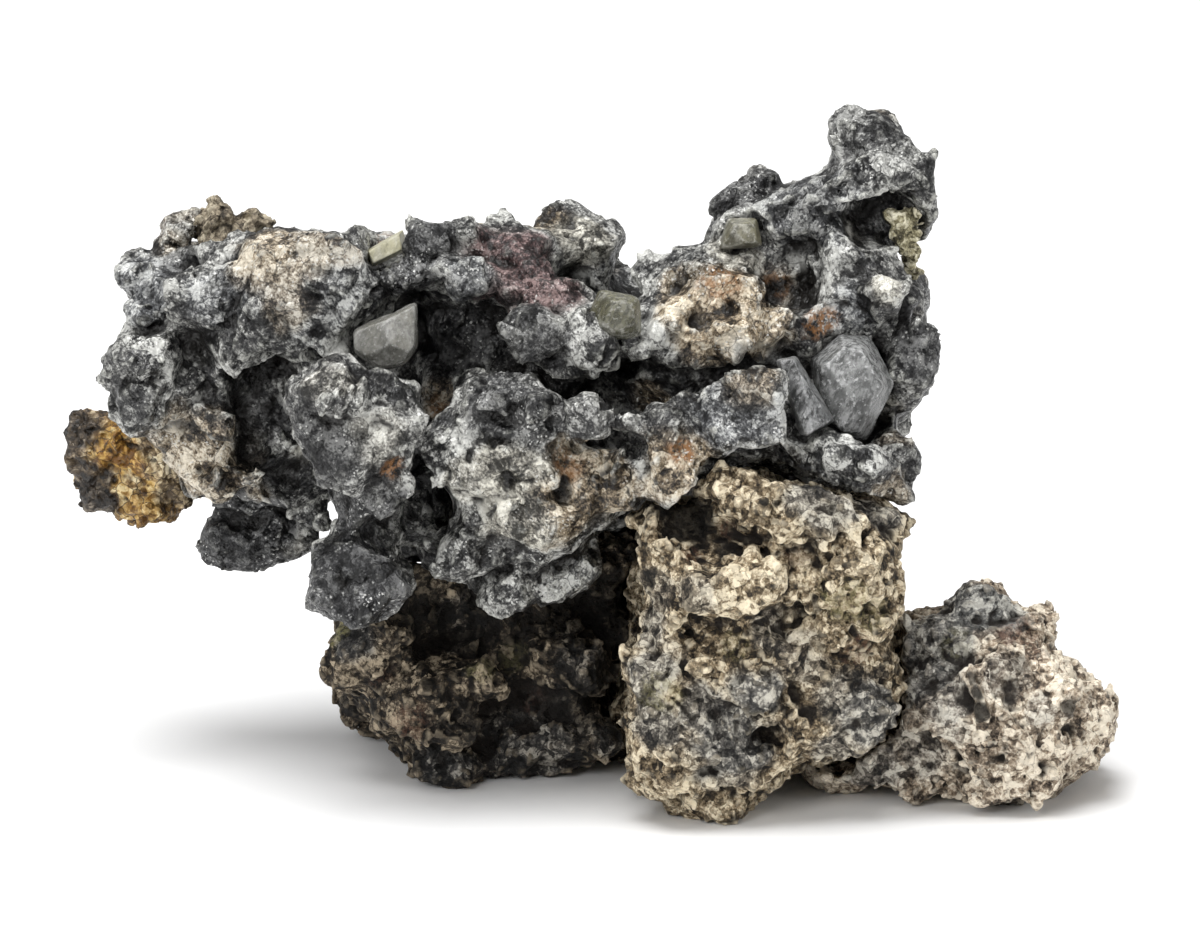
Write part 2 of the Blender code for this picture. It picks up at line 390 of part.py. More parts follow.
def add_body(bm, outline, front, back, edge, lean):
    """A slab with this outline on the display view, carried back along the line of sight."""
    curve = bpy.data.curves.new("outline", "CURVE")
    curve.dimensions = "2D"
    curve.fill_mode = "BOTH"
    curve.bevel_depth = edge
    curve.bevel_resolution = 2
    curve.offset = -edge - KNOB_ROOM
    curve.extrude = (back - front) / 2 - edge
    spline = curve.splines.new("POLY")
    spline.points.add(len(outline) - 1)
    for point, (across, up) in zip(spline.points, outline):
        point.co = (across, up, 0, 1)
    spline.use_cyclic_u = True
    slab = link("slab", curve)
    mesh = evaluated_mesh(slab)
    middle = np.mean(outline, axis=0)
    for vert in mesh.vertices:
        across, up, forward = vert.co
        depth = (front + back) / 2 - forward + lean[0] * (across - middle[0]) + lean[1] * (up - middle[1])
        vert.co = seen(across, up, depth)
    bm.from_mesh(mesh)
    bpy.data.objects.remove(slab, do_unlink=True)
    bpy.data.curves.remove(curve)
    bpy.data.meshes.remove(mesh)


def add_knobs(bm, obj, count, size):
    """Small broken lumps half sunk in the object's surface, spread evenly over its area."""
    random = Random(obj.name)
    faces = obj.data.polygons
    chosen = random.choices(faces, weights=[face.area for face in faces], k=count)
    for face in chosen:
        width = size * random.uniform(0.6, 1.3)
        turn = Euler([random.uniform(0, tau) for _ in range(3)]).to_matrix().to_4x4()
        shape = Matrix.Diagonal((width, width * 0.8, width * 0.6, 1))
        sunk = face.center - face.normal * width * 0.6
        join(bm, broken_block(random.random(), Matrix.Translation(sunk) @ turn @ shape, 3.0, 9))


def link(name, data):
    obj = bpy.data.objects.new(name, data)
    bpy.context.scene.collection.objects.link(obj)
    return obj


def link_bmesh(name, bm):
    mesh = bpy.data.meshes.new(name)
    bm.to_mesh(mesh)
    bm.free()
    return link(name, mesh)


def evaluated_mesh(obj):
    bpy.context.view_layer.update()
    return bpy.data.meshes.new_from_object(obj.evaluated_get(bpy.context.evaluated_depsgraph_get()))


def bake(obj):
    """Puts the object's evaluated mesh in place of its mesh and modifiers."""
    mesh = evaluated_mesh(obj)
    obj.modifiers.clear()
    obj.data = mesh
    return obj


def fuse(obj):
    modifier = obj.modifiers.new("Fuse", "REMESH")
    modifier.mode = "VOXEL"
    modifier.voxel_size = VOXEL
    return bake(obj)


def thin_out(obj, triangles):
    """Collapses edges until about this many triangles are left."""
    obj.data.calc_loop_triangles()
    modifier = obj.modifiers.new("Thin", "DECIMATE")
    modifier.ratio = min(1.0, triangles / len(obj.data.loop_triangles))
    modifier.use_collapse_triangulate = True
    return bake(obj)


def room_for(obj):
    """A closed copy that stands GAP outside the object, to cut room for it."""
    room = fuse(link(obj.name + "_room", obj.data.copy()))
    modifier = room.modifiers.new("Grow", "DISPLACE")
    modifier.strength = GAP
    modifier.mid_level = 0
    fuse(bake(room))
    return thin_out(room, 2500)


def cut(obj, cutter):
    modifier = obj.modifiers.new("Cut", "BOOLEAN")
    modifier.operation = "DIFFERENCE"
    modifier.object = cutter
    return bake(obj)


def keep_largest(obj):
    """Drops the crumbs that a cut leaves beside the main body."""
    bm = bmesh.new()
    bm.from_mesh(obj.data)
    left = set(bm.verts)
    bodies = []
    while left:
        body = set()
        rim = [left.pop()]
        while rim:
            vert = rim.pop()
            body.add(vert)
            near = {edge.other_vert(vert) for edge in vert.link_edges} & left
            left -= near
            rim.extend(near)
        bodies.append(body)
    bodies.sort(key=len)
    for body in bodies[:-1]:
        bmesh.ops.delete(bm, geom=list(body), context="VERTS")
    bm.to_mesh(obj.data)
    bm.free()


def fused_piece(name, bodies, lumps, hollows, knobs, knob_size):
    bm = bmesh.new()
    for _, outline, front, back, edge, lean in bodies:
        add_body(bm, outline, front, back, edge, lean)
    for lump, at, half, roll, square in lumps:
        join(bm, broken_block(lump, placed(at, half, roll), square, LUMP_FLATS))
    obj = fuse(link_bmesh(name, bm))
    for hollow, at, half, roll, square in hollows:
        tool = link_bmesh(hollow, broken_block(hollow, placed(at, half, roll), square, LUMP_FLATS))
        cut(obj, tool)
        bpy.data.objects.remove(tool, do_unlink=True)
    bm = bmesh.new()
    bm.from_mesh(obj.data)
    add_knobs(bm, obj, knobs, knob_size)
    bm.to_mesh(obj.data)
    bm.free()
    return fuse(obj)


def table_cutter():
    """The block under the table, which planes the resting spots flat."""
    bm = bmesh.new()
    bmesh.ops.create_cube(bm, size=1)
    bm.transform(Matrix.Translation((0, 0, -TABLE[2] / 2)) @ Matrix.Diagonal((*TABLE, 1)))
    return link_bmesh("table_cut", bm)


def finish_of(name, colour, roughness, metallic):
    material = bpy.data.materials.new(name)
    material.use_nodes = True
    shader = material.node_tree.nodes["Principled BSDF"]
    shader.inputs["Base Color"].default_value = (*colour, 1)
    shader.inputs["Roughness"].default_value = roughness
    shader.inputs["Metallic"].default_value = metallic
    return material


def make_pieces():
    """Every piece in mm. Each fused piece is cut clear of the pieces made before it."""
    pieces = {}
    rooms = {}
    for name, at, half, roll, square, flats, _ in CRYSTALS:
        pieces[name] = link_bmesh(name, broken_block(name, placed(at, half, roll), square, flats))
        room = broken_block(name, placed(at, half, roll, GAP), square, flats)
        rooms[name] = link_bmesh(name + "_room", room)
    table = table_cutter()
    for name, (bodies, lumps, hollows, knobs, knob_size, triangles, _) in PIECES.items():
        obj = fused_piece(name, bodies, lumps, hollows, knobs, knob_size)
        for room in rooms.values():
            cut(obj, room)
        keep_largest(fuse(obj))
        cut(thin_out(obj, triangles), table)
        pieces[name] = obj
        rooms[name] = room_for(obj)
    for cutter in (table, *rooms.values()):
        bpy.data.objects.remove(cutter, do_unlink=True)
    return pieces


def middle_of(pieces):
    """The middle of the box round every piece, on the table."""
    points = np.array([vert.co for obj in pieces for vert in obj.data.vertices])
    middle = (points.min(axis=0) + points.max(axis=0)) / 2
    return Vector((middle[0], middle[1], 0))


def main():
    clear_scene()
    pieces = make_pieces()
    finishes = {name: recipe[-1] for name, recipe in PIECES.items()}
    finishes.update({recipe[0]: recipe[-1] for recipe in CRYSTALS})
    specimen = bpy.data.collections.new("native_lead_specimen")
    bpy.context.scene.collection.children.link(specimen)
    to_metres = Matrix.Scale(MM, 4) @ Matrix.Translation(-middle_of(pieces.values()))
    for name, obj in pieces.items():
        bpy.context.scene.collection.objects.unlink(obj)
        specimen.objects.link(obj)
        obj.data.transform(to_metres)
        obj.data.name = name
        obj.data.materials.clear()
        obj.data.materials.append(finish_of(name, *finishes[name]))


main()
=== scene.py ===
import math

import bpy
import numpy as np
import openvdb as vdb
from mathutils import Euler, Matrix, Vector


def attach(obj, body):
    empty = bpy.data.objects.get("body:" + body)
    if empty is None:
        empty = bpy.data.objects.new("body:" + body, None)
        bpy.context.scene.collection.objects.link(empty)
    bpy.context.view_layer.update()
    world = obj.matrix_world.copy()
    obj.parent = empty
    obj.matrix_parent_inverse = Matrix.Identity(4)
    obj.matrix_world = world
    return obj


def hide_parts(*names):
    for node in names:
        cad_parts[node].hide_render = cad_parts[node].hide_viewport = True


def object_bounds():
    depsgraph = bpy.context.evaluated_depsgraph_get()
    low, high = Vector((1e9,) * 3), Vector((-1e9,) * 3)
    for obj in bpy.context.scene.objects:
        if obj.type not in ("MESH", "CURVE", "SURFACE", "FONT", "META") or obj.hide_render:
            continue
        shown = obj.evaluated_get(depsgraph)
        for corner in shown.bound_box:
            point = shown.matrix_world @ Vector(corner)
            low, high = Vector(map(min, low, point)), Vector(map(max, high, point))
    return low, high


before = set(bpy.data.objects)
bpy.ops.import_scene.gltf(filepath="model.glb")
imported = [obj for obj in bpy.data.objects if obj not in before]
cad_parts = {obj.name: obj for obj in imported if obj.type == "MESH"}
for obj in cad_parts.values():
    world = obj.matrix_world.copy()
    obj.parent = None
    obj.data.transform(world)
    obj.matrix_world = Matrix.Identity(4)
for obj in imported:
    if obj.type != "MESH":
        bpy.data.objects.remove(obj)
cadBox = [list(corner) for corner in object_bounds()]
print("frame loaded:", len(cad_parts), "nodes")

# Places are in mm as the display front shows them: across to the right, up that view, and depth
# level and away from it. The view looks down by tilt. The model's origin is at (across, depth).
display = dict(tilt=math.radians(15), across=-0.0313, depth=1.5803)
sinTilt, cosTilt = math.sin(display["tilt"]), math.cos(display["tilt"])
originAt = np.array((display["across"], display["depth"], 0.0))


def seen(across, up, depth):
    # the level depth lifts a point on the view by sin(tilt), so its height is what is left of up
    return np.array((across, depth, (up - depth * sinTilt) / cosTilt), dtype=float)


def toModel(points):
    return (np.asarray(points) - originAt) * 0.001


# numbers that stay the same for the same place

randomTable = np.random.default_rng(7).random(65536).astype(np.float32)


def fixedRandom(i, j, k, seed):
    # one number from 0 to 1 for every whole-number place, looked up by mixing its three counts
    return randomTable[(i * 73856093 ^ j * 19349663 ^ k * 83492791 ^ seed * 2654435) & 65535]


def overCorners(whole, shares, value):
    # adds up the values at the eight corners of each point's cube, times how near each corner is
    total = np.zeros(len(whole), np.float32)
    for corner in range(8):
        steps = [corner >> a & 1 for a in range(3)]
        near = [shares[:, a] if steps[a] else 1 - shares[:, a] for a in range(3)]
        total += np.prod(near, axis=0) * value(*(whole[:, a] + steps[a] for a in range(3)))
    return total


def smoothNoise(points, size, seed):
    # random numbers on a lattice of this size, blended over each cube's eight corners by
    # w = t * t * (3 - 2 t) along every side; from -1 to 1
    place = points * np.float32(1 / size)
    whole = np.floor(place)
    t = place - whole
    w = t * t * (3 - 2 * t)
    return overCorners(whole.astype(np.int32), w, lambda i, j, k: fixedRandom(i, j, k, seed)) * 2 - 1


def layeredNoise(points, size, seed, layers=3):
    # smooth noise over itself at half the size and half the height, this many times
    total = np.zeros(len(points), np.float32)
    height = 1.0
    for layer in range(layers):
        total += height * smoothNoise(points, size / 2**layer, seed + layer)
        height *= 0.5
    return total / (2 - 2 * height)


def grainCells(points, size, seed):
    # one random centre near the middle of every lattice cube; gives the distance to the nearest
    # centre, how much further the second is, the nearest one's own number and the way from it
    place = points * np.float32(1 / size)
    base = np.floor(place - 0.5).astype(np.int32)
    first = np.full(len(points), 9, np.float32)
    second = first.copy()
    number = np.zeros(len(points), np.float32)
    away = np.zeros((len(points), 3), np.float32)
    for corner in range(8):
        i, j, k = (base[:, a] + (corner >> a & 1) for a in range(3))
        centre = [c + 0.5 + 0.8 * (fixedRandom(i, j, k, seed + n) - 0.5)
                  for n, c in enumerate((i, j, k))]
        delta = np.stack([place[:, a] - centre[a] for a in range(3)], axis=1).astype(np.float32)
        far = np.sqrt((delta * delta).sum(axis=1))
        nearer = far < first
        second = np.where(nearer, first, np.minimum(second, far))
        first = np.where(nearer, far, first)
        number = np.where(nearer, fixedRandom(i, j, k, seed + 5), number)
        away = np.where(nearer[:, None], delta, away)
    return first * size, (second - first) * size, number, away * np.float32(size)


def facets(points, size, seed, tilt, step, seam=0.0, seamWidth=0.07):
    # every cell is a flat face, tilted its own way and set out or in by its own amount, with a
    # seam of this depth where it meets the next
    _, gap, number, away = grainCells(points, size, seed)
    index = (number * 60000).astype(np.int32)
    lean = np.stack([fixedRandom(index, 0, 0, seed + n) - 0.5 for n in (7, 8, 9)], axis=1)
    groove = seam * np.exp(-gap / np.float32(seamWidth))
    return tilt * (away * lean).sum(axis=1) + step * (number - 0.5) - groove


def facing(points, normals, size, seed):
    # noise that stays the same over a flat face, since it is read by the way the surface faces
    return smoothNoise((normals / np.float32(size) + points / 4).astype(np.float32), 1.0, seed)


# the grain runs one of three ways, each given by the turn that would bring upright to it
grainTurns = ((0, 35, 15), (0, -40, 30), (80, 10, 0))


def grainNumber(points, normals):
    # which of the three ways each flat face has: 0, 1 or 2
    return np.clip((facing(points, normals, 0.6, 60) * 0.9 + 0.5) * 3, 0, 2.99).astype(int)


def streaks(points, which, size, seed):
    # ridges of noise drawn out along each point's way, since the place counts for less there
    ways = np.array([Euler(np.radians(turn)).to_matrix() @ Vector((0, 0, 1)) for turn in grainTurns])
    way = ways[which].astype(np.float32)
    along = (points * way).sum(axis=1, keepdims=True)
    return 1 - 3 * np.abs(layeredNoise(points - 0.75 * along * way, size, seed, 2))


def seams(points, size, seed, width):
    # nought inside wavy cells of this size and one along the borders between them
    _, gap, _, _ = grainCells(bent(points, size, 0.3 * size, seed), size, seed)
    return np.exp(-gap / np.float32(width))


def bent(points, size, amount, seed):
    # the points pushed about by smooth noise, so that what follows gets wavy borders
    push = np.stack([smoothNoise(points, size, seed + n) for n in range(3)], axis=1)
    return points + np.float32(amount) * push


# solids as distance fields: mm to the surface on a regular grid, minus inside

limits = dict(
    margin=1.2,  # the room left round a solid
    band=9.0,  # how many grid steps away distances are still measured
    far=9.0,  # the distance given to all that lies further out
    standOut=0.32,  # how far anything may stand out of the first shape
    high=0.02, low=0.01,  # how far inside the high and low sides of the specimen's box it stays
)
sight = np.array((0, cosTilt, -sinTilt))  # the way the display looks
sightDepths = np.arange(-16, 18, 0.05)  # the depths tried, one after another, along it


def solidOf(settings):
    # the node's closed surface turned into distances on cubes of this step, softened so that its
    # flat triangles go, and let out by a little
    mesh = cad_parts[settings["node"]].data
    step = settings["step"]
    mesh.calc_loop_triangles()
    corners = np.empty(len(mesh.loop_triangles) * 3, np.int32)
    mesh.loop_triangles.foreach_get("vertices", corners)
    points = cornersOf(mesh)
    low = points.min(axis=0) - limits["margin"]
    shape = np.ceil((points.max(axis=0) + limits["margin"] - low) / step).astype(int) + 1
    grid = vdb.FloatGrid.createLevelSetFromPolygons(
        ((points - low) / step).astype(np.float32),
        triangles=corners.reshape(-1, 3).astype(np.uint32), halfWidth=limits["band"])
    field = np.empty(tuple(shape), np.float32)
    grid.copyToArray(field)
    field = soften(field * np.float32(step), settings["rounds"]) - np.float32(settings["out"])
    return dict(low=low, step=step, field=field, first=field.copy())


def soften(field, rounds):
    # each round takes a quarter of both neighbours and half of the middle, along every side
    out = field.copy()
    for _ in range(rounds):
        for axis in range(3):
            ahead = np.swapaxes(out, 0, axis)
            ahead[1:-1] = ahead[1:-1] * 0.5 + (ahead[:-2] + ahead[2:]) * 0.25
    return out


def outward(field, cells):
    # the slope of the distance over two grid steps, as unit vectors
    slope = np.empty(cells.shape, np.float32)
    for axis in range(3):
        ahead, behind = cells.copy(), cells.copy()
        ahead[:, axis] = np.minimum(cells[:, axis] + 1, field.shape[axis] - 1)
        behind[:, axis] = np.maximum(cells[:, axis] - 1, 0)
        slope[:, axis] = field[tuple(ahead.T)] - field[tuple(behind.T)]
    return slope / np.maximum(np.linalg.norm(slope, axis=1, keepdims=True), 1e-6)


def roughen(solid, relief, reach=0.9):
    # takes relief, in mm, off the distance near the surface, so that it stands out there; the
    # relief is read at the nearest surface point, so that it never folds over
    field, step = solid["field"], solid["step"]
    old = field.copy()
    solid["smooth"] = old
    near = np.argwhere(np.abs(old) < reach)
    for cells in np.array_split(near, max(1, len(near) // 300000)):
        at = tuple(cells.T)
        normals = outward(old, cells)
        points = cells * step + solid["low"] - old[at][:, None] * normals
        field[at] -= relief(points.astype(np.float32), normals)


def blockRound(solid, centre, reach):
    # the part of the grid within reach of a place, and the offsets of its points from that place
    step, low = solid["step"], solid["low"]
    first = np.maximum(np.floor((centre - reach - low) / step).astype(int), 0)
    last = np.minimum(np.ceil((centre + reach - low) / step).astype(int) + 1, solid["field"].shape)
    sides = [np.arange(first[a], last[a]) * step + low[a] - centre[a] for a in range(3)]
    offsets = np.stack(np.meshgrid(*sides, indexing="ij"), axis=-1).astype(np.float32)
    return tuple(slice(first[a], last[a]) for a in range(3)), offsets


def blended(a, b, width):
    # the lower of the two, with the crease between them filled over this width
    share = np.clip(0.5 + 0.5 * (b - a) / width, 0, 1)
    return b + (a - b) * share - width * share * (1 - share)


def join(solid, block, form, width, raised=True):
    # sets a form on this part of the grid, or takes it out of it, with the crease filled
    old = solid["field"][block]
    solid["field"][block] = blended(old, form, width) if raised else -blended(-old, form, width)


def flatsRound(count, random):
    # directions spread evenly over a sphere by the golden angle, nudged, and turned as a set
    goldenAngle = 2.39996
    i = np.arange(count)
    level = 1 - (2 * i + 1) / count
    angle = i * goldenAngle + random.uniform(-0.4, 0.4, count)
    ring = np.sqrt(1 - level * level)
    turn = np.array(Euler(random.uniform(0, 6.28, 3)).to_matrix())
    return np.stack((ring * np.cos(angle), ring * np.sin(angle), level), axis=1) @ turn.T


def chipDistance(offsets, half, turn, flats, random):
    # furthest out of a set of flat faces that lean every way round a block of these half sizes
    normals = flatsRound(flats, random)
    reach = (np.abs(normals) ** 1.5).sum(axis=1) ** (1 / 1.5) * random.uniform(0.82, 1.0, flats)
    slopes = normals / np.array(half)
    lengths = np.linalg.norm(slopes, axis=1)
    slopes = (slopes / lengths[:, None]) @ np.array(Euler(turn).to_matrix()).T
    best = None
    for slope, away in zip(slopes.astype(np.float32), (reach / lengths).astype(np.float32)):
        side = offsets @ slope - away
        best = side if best is None else np.maximum(best, side)
    return best


def eggDistance(offsets, half, turn):
    # an egg of these half sizes: (length of the offset over the half sizes, less one) * the least
    local = offsets @ np.array(Euler(turn).to_matrix(), np.float32)
    return (np.linalg.norm(local / np.array(half, np.float32), axis=-1) - 1) * np.float32(min(half))


def randomPlaces(solid, settings, wanted=None):
    # the source of random numbers, and random places on the surface, only where wanted is true,
    # with the way out at each
    random = np.random.default_rng(settings["seed"])
    cells = np.argwhere(np.abs(solid["field"]) < 0.5 * solid["step"])
    if wanted is not None:
        cells = cells[wanted((cells * solid["step"] + solid["low"]).astype(np.float32))]
    chosen = cells[random.choice(len(cells), settings["count"])]
    ways = outward(solid["field"], chosen)
    return random, zip(chosen * solid["step"] + solid["low"], ways)


def scatter(solid, settings, wanted=None):
    # broken chips, or eggs where no count of flats is given, half sunk at random places
    random, places = randomPlaces(solid, settings, wanted)
    for place, normal in places:
        size = settings["size"] * random.uniform(0.5, 1.25) ** 1.5
        half = size * random.uniform(0.55, 1.0, 3)
        turn = random.uniform(0, 6.28, 3)
        centre = place - normal * size * settings["sink"]
        block, offsets = blockRound(solid, centre, size * 1.45 + settings["blend"])
        if settings.get("flats"):
            lump = chipDistance(offsets, half, turn, settings["flats"], random)
        else:
            lump = eggDistance(offsets, half, turn)
        join(solid, block, lump, settings["blend"])


def knap(solid, settings, wanted=None):
    # flat faces struck off at random places
    random, places = randomPlaces(solid, settings, wanted)
    for place, normal in places:
        radius = settings["size"] * random.uniform(0.6, 1.3)
        way = normal + random.normal(0, settings["lean"], 3)
        strike(solid, place, way, radius, settings["deep"], settings["cut"])


def strike(solid, centre, way, radius, deep, cut):
    # takes off what stands out of a plane that lies deep under the centre and faces way, but no
    # more than cut * (1 - (distance / radius) squared), so that the flat ends without a wall
    block, offsets = blockRound(solid, centre, radius)
    above = offsets @ (way / np.linalg.norm(way)).astype(np.float32) + np.float32(deep)
    share = np.maximum(1 - (offsets * offsets).sum(axis=-1) / np.float32(radius * radius), 0)
    old = solid["field"][block]
    solid["field"][block] = np.maximum(old, np.minimum(above, old + np.float32(cut) * share))


def frontPoint(solid, across, up):
    # walks along the line of sight until the distance turns negative
    ups = (up - sightDepths * sinTilt) / cosTilt
    line = np.stack((np.full(len(sightDepths), across), sightDepths, ups), axis=1)
    index = np.round((line - solid["low"]) / solid["step"]).astype(int)
    fits = ((index >= 0) & (index < solid["field"].shape)).all(axis=1)
    values = np.full(len(sightDepths), limits["far"])
    values[fits] = solid["field"][tuple(index[fits].T)]
    hits = np.flatnonzero(values < 0)
    return line[hits[0]] if len(hits) else None


def onFront(solid, rows):
    # for every row: its place in the list, the point of the front that its first two numbers,
    # across and up, lead to, and its other numbers; a row that meets nothing is passed over
    for number, (across, up, *others) in enumerate(rows):
        point = frontPoint(solid, across, up)
        if point is not None:
            yield number, point, others


def putFlats(solid, flats):
    # flats are (across, up, radius, lean across, lean up, deep): flat faces struck on the front
    for _, point, (radius, leanAcross, leanUp, deep) in onFront(solid, flats):
        way = np.array((leanAcross, -cosTilt + leanUp * sinTilt, sinTilt + leanUp * cosTilt))
        strike(solid, point, way, radius, deep, 3 * deep)


def putChips(solid, chips, blend):
    # chips are (across, up, width, thickness, height, roll, sink): broken blocks set in the front
    for number, point, (width, thick, height, roll, sink) in onFront(solid, chips):
        random = np.random.default_rng(31 * number + 7)
        block, offsets = blockRound(solid, point + sight * sink, max(width, thick, height) * 1.45 + 0.4)
        turn = (-display["tilt"], math.radians(roll), 0)
        join(solid, block, chipDistance(offsets, (width, thick, height), turn, 12, random), blend)


def putHollows(solid, hollows, blend):
    # hollows are (across, up, width, depth, height, roll): eggs taken out of the front
    for _, point, (*half, roll) in onFront(solid, hollows):
        block, offsets = blockRound(solid, point, max(half) + 0.8)
        turn = (-display["tilt"], math.radians(roll), 0)
        join(solid, block, eggDistance(offsets, half, turn), blend, raised=False)


def alongLine(offsets, ends, radii):
    # distance to a chain of straight stretches whose radius changes evenly from end to end
    best = None
    for a, b, ra, rb in zip(ends[:-1], ends[1:], radii[:-1], radii[1:]):
        way = b - a
        t = np.clip(((offsets - a) @ way) / (way @ way), 0, 1)
        far = np.linalg.norm(offsets - (a + t[..., None] * way), axis=-1) - (ra + (rb - ra) * t)
        best = far if best is None else np.minimum(best, far)
    return best


def drawLines(solid, lines, raised, blend=0.12):
    # lines are (radius, (across, up), ...): a crack is carved along each, or a ridge stands on it
    for radius, *places in lines:
        ends = np.array([point for _, point, _ in onFront(solid, places)])
        if len(ends) < 2:
            continue
        centre = (ends.min(axis=0) + ends.max(axis=0)) / 2
        reach = np.abs(ends - centre).max() + radius + 0.6
        block, offsets = blockRound(solid, centre, reach)
        radii = np.full(len(ends), radius)
        radii[0] = radii[-1] = radius * 0.4
        line = alongLine(offsets, (ends - centre).astype(np.float32), radii)
        join(solid, block, line, blend, raised)


def trimmed(solid):
    # nothing may stand far out of the part's first shape, outside the box of the whole specimen
    # or below the table
    low, high = (np.array(corner) * 1000 + originAt for corner in cadBox)
    field = solid["field"]
    np.maximum(field, solid["first"] - np.float32(limits["standOut"]), out=field)
    for axis in range(3):
        shape = [1, 1, 1]
        shape[axis] = -1
        along = (np.arange(field.shape[axis]) * solid["step"] + solid["low"][axis]).reshape(shape)
        beyond = np.maximum(along - high[axis] + limits["high"], low[axis] + limits["low"] - along)
        field[:] = np.maximum(field, beyond)


def largestIsland(points, faces):
    # every corner takes the lowest number among its face's corners until nothing changes
    label = np.arange(len(points))
    while True:
        lowest = label[faces].min(axis=1)
        new = label.copy()
        np.minimum.at(new, faces.ravel(), np.repeat(lowest, faces.shape[1]))
        new = new[new]
        if (new == label).all():
            break
        label = new
    kept = label == np.bincount(label).argmax()
    faces = faces[kept[faces[:, 0]]]
    number = np.cumsum(kept) - 1
    return points[kept], number[faces]


def surfaceOf(solid, settings):
    # the surface where the distance is nought, as one closed mesh thinned to most triangles
    grid = vdb.FloatGrid(limits["far"])
    grid.copyFromArray(solid["field"])
    points, quads = grid.convertToQuads(isovalue=0.0)
    points, quads = largestIsland(points, quads.astype(np.int64))
    a, b, c = (points[quads[:, n]].astype(float) for n in range(3))
    if np.einsum("ij,ij->", a, np.cross(b, c)) < 0:
        quads = quads[:, ::-1]
    piece = linkMesh(settings["name"], toModel(points * solid["step"] + solid["low"]), quads)
    if 2 * len(quads) > settings["most"]:
        thin = piece.modifiers.new("thin", "DECIMATE")
        thin.ratio = settings["most"] / (2 * len(quads))
        bpy.context.view_layer.update()
        graph = bpy.context.evaluated_depsgraph_get()
        piece.data = bpy.data.meshes.new_from_object(piece.evaluated_get(graph))
        piece.modifiers.clear()
    return piece


def linkMesh(name, points, faces):
    # a piece from its corners and from faces that all have the same number of them
    mesh = bpy.data.meshes.new(name)
    mesh.vertices.add(len(points))
    mesh.vertices.foreach_set("co", np.asarray(points, np.float32).ravel())
    width = faces.shape[1]
    mesh.loops.add(len(faces) * width)
    mesh.loops.foreach_set("vertex_index", np.asarray(faces, np.int32).ravel())
    mesh.polygons.add(len(faces))
    mesh.polygons.foreach_set("loop_start", np.arange(len(faces), dtype=np.int32) * width)
    mesh.update(calc_edges=True)
    piece = bpy.data.objects.new(name, mesh)
    bpy.context.scene.collection.objects.link(piece)
    return piece


def cornersOf(mesh):
    # the mesh's corners in mm on the display's own origin
    co = np.empty(len(mesh.vertices) * 3, np.float32)
    mesh.vertices.foreach_get("co", co)
    return co.reshape(-1, 3) * 1000 + originAt


def sampled(solid, values, points):
    # a grid's value at any point, blended evenly between the eight grid points round it
    place = np.clip((points - solid["low"]) / solid["step"], 0, np.array(values.shape) - 1.001)
    whole = place.astype(int)
    return overCorners(whole, (place - whole).astype(np.float32), lambda i, j, k: values[i, j, k])


def giveNumbers(piece, name, values):
    attribute = piece.data.attributes.new(name, "FLOAT", "POINT")
    attribute.data.foreach_set("value", np.asarray(values, np.float32))


def patches(points, solid, places, seed, edge=0.5):
    # how far inside any of the round patches (across, up, radius, strength) each point is, from
    # 0 to its strength; a patch is a ball set just under the front, its border pushed by noise
    ragged = layeredNoise(points, 1.4, seed, 3)
    best = np.zeros(len(points), np.float32)
    for _, point, (radius, strength) in onFront(solid, places):
        centre = (point + sight * 0.2).astype(np.float32)
        far = np.linalg.norm(points - centre, axis=1)
        inside = np.clip((radius * (1.2 + 0.6 * ragged) - far) / (edge * radius) + 0.5, 0, 1)
        best = np.maximum(best, inside * strength)
    return best


def giveFaces(piece, solid, points):
    # a tone for every flat face, and which way its grain runs
    cells = np.round((points - solid["low"]) / solid["step"])
    cells = np.clip(cells, 0, np.array(solid["smooth"].shape) - 1).astype(int)
    normals = outward(solid["smooth"], cells)
    giveNumbers(piece, "tone", 0.5 + 0.5 * facing(points, normals, 0.35, 81))
    giveNumbers(piece, "grain", grainNumber(points, normals))


def finished(solid, settings, finish):
    # the mesh with its finish and numbers: how far each point stands out of the shape softened
    # widely (hollow) and finely (tip), both more than nought on a ridge, and its share of each
    # zone, which comes from the patches on the front and from noise on the back
    trimmed(solid)
    piece = surfaceOf(solid, settings)
    points = cornersOf(piece.data).astype(np.float32)
    fine = soften(solid["field"], settings["fine"])
    # the finishes paint shade into creases and hollows, and lighter ridges, from tip and hollow
    giveNumbers(piece, "tip", sampled(solid, fine, points))
    giveNumbers(piece, "hollow", sampled(solid, soften(fine, settings["wide"]), points))
    giveFaces(piece, solid, points)
    behind = np.clip((points[:, 1] - settings["behind"]) / 3, 0, 1)
    for number, (name, places) in enumerate(settings["zones"].items()):
        share = patches(points, solid, places, 40 + 3 * number)
        elsewhere = np.clip(layeredNoise(points, 5.0, 90 + 3 * number, 3) * 3 - 0.55, 0, 1)
        giveNumbers(piece, name, np.maximum(share, elsewhere * behind * settings["spread"].get(name, 0)))
    piece.data.materials.append(finish)
    piece.data.shade_smooth()
    declare(piece, settings)


def declare(piece, settings):
    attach(piece, "root")
    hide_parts(settings["node"])
    print(settings["name"], len(piece.data.polygons), "faces")


# shorthand for building materials from nodes


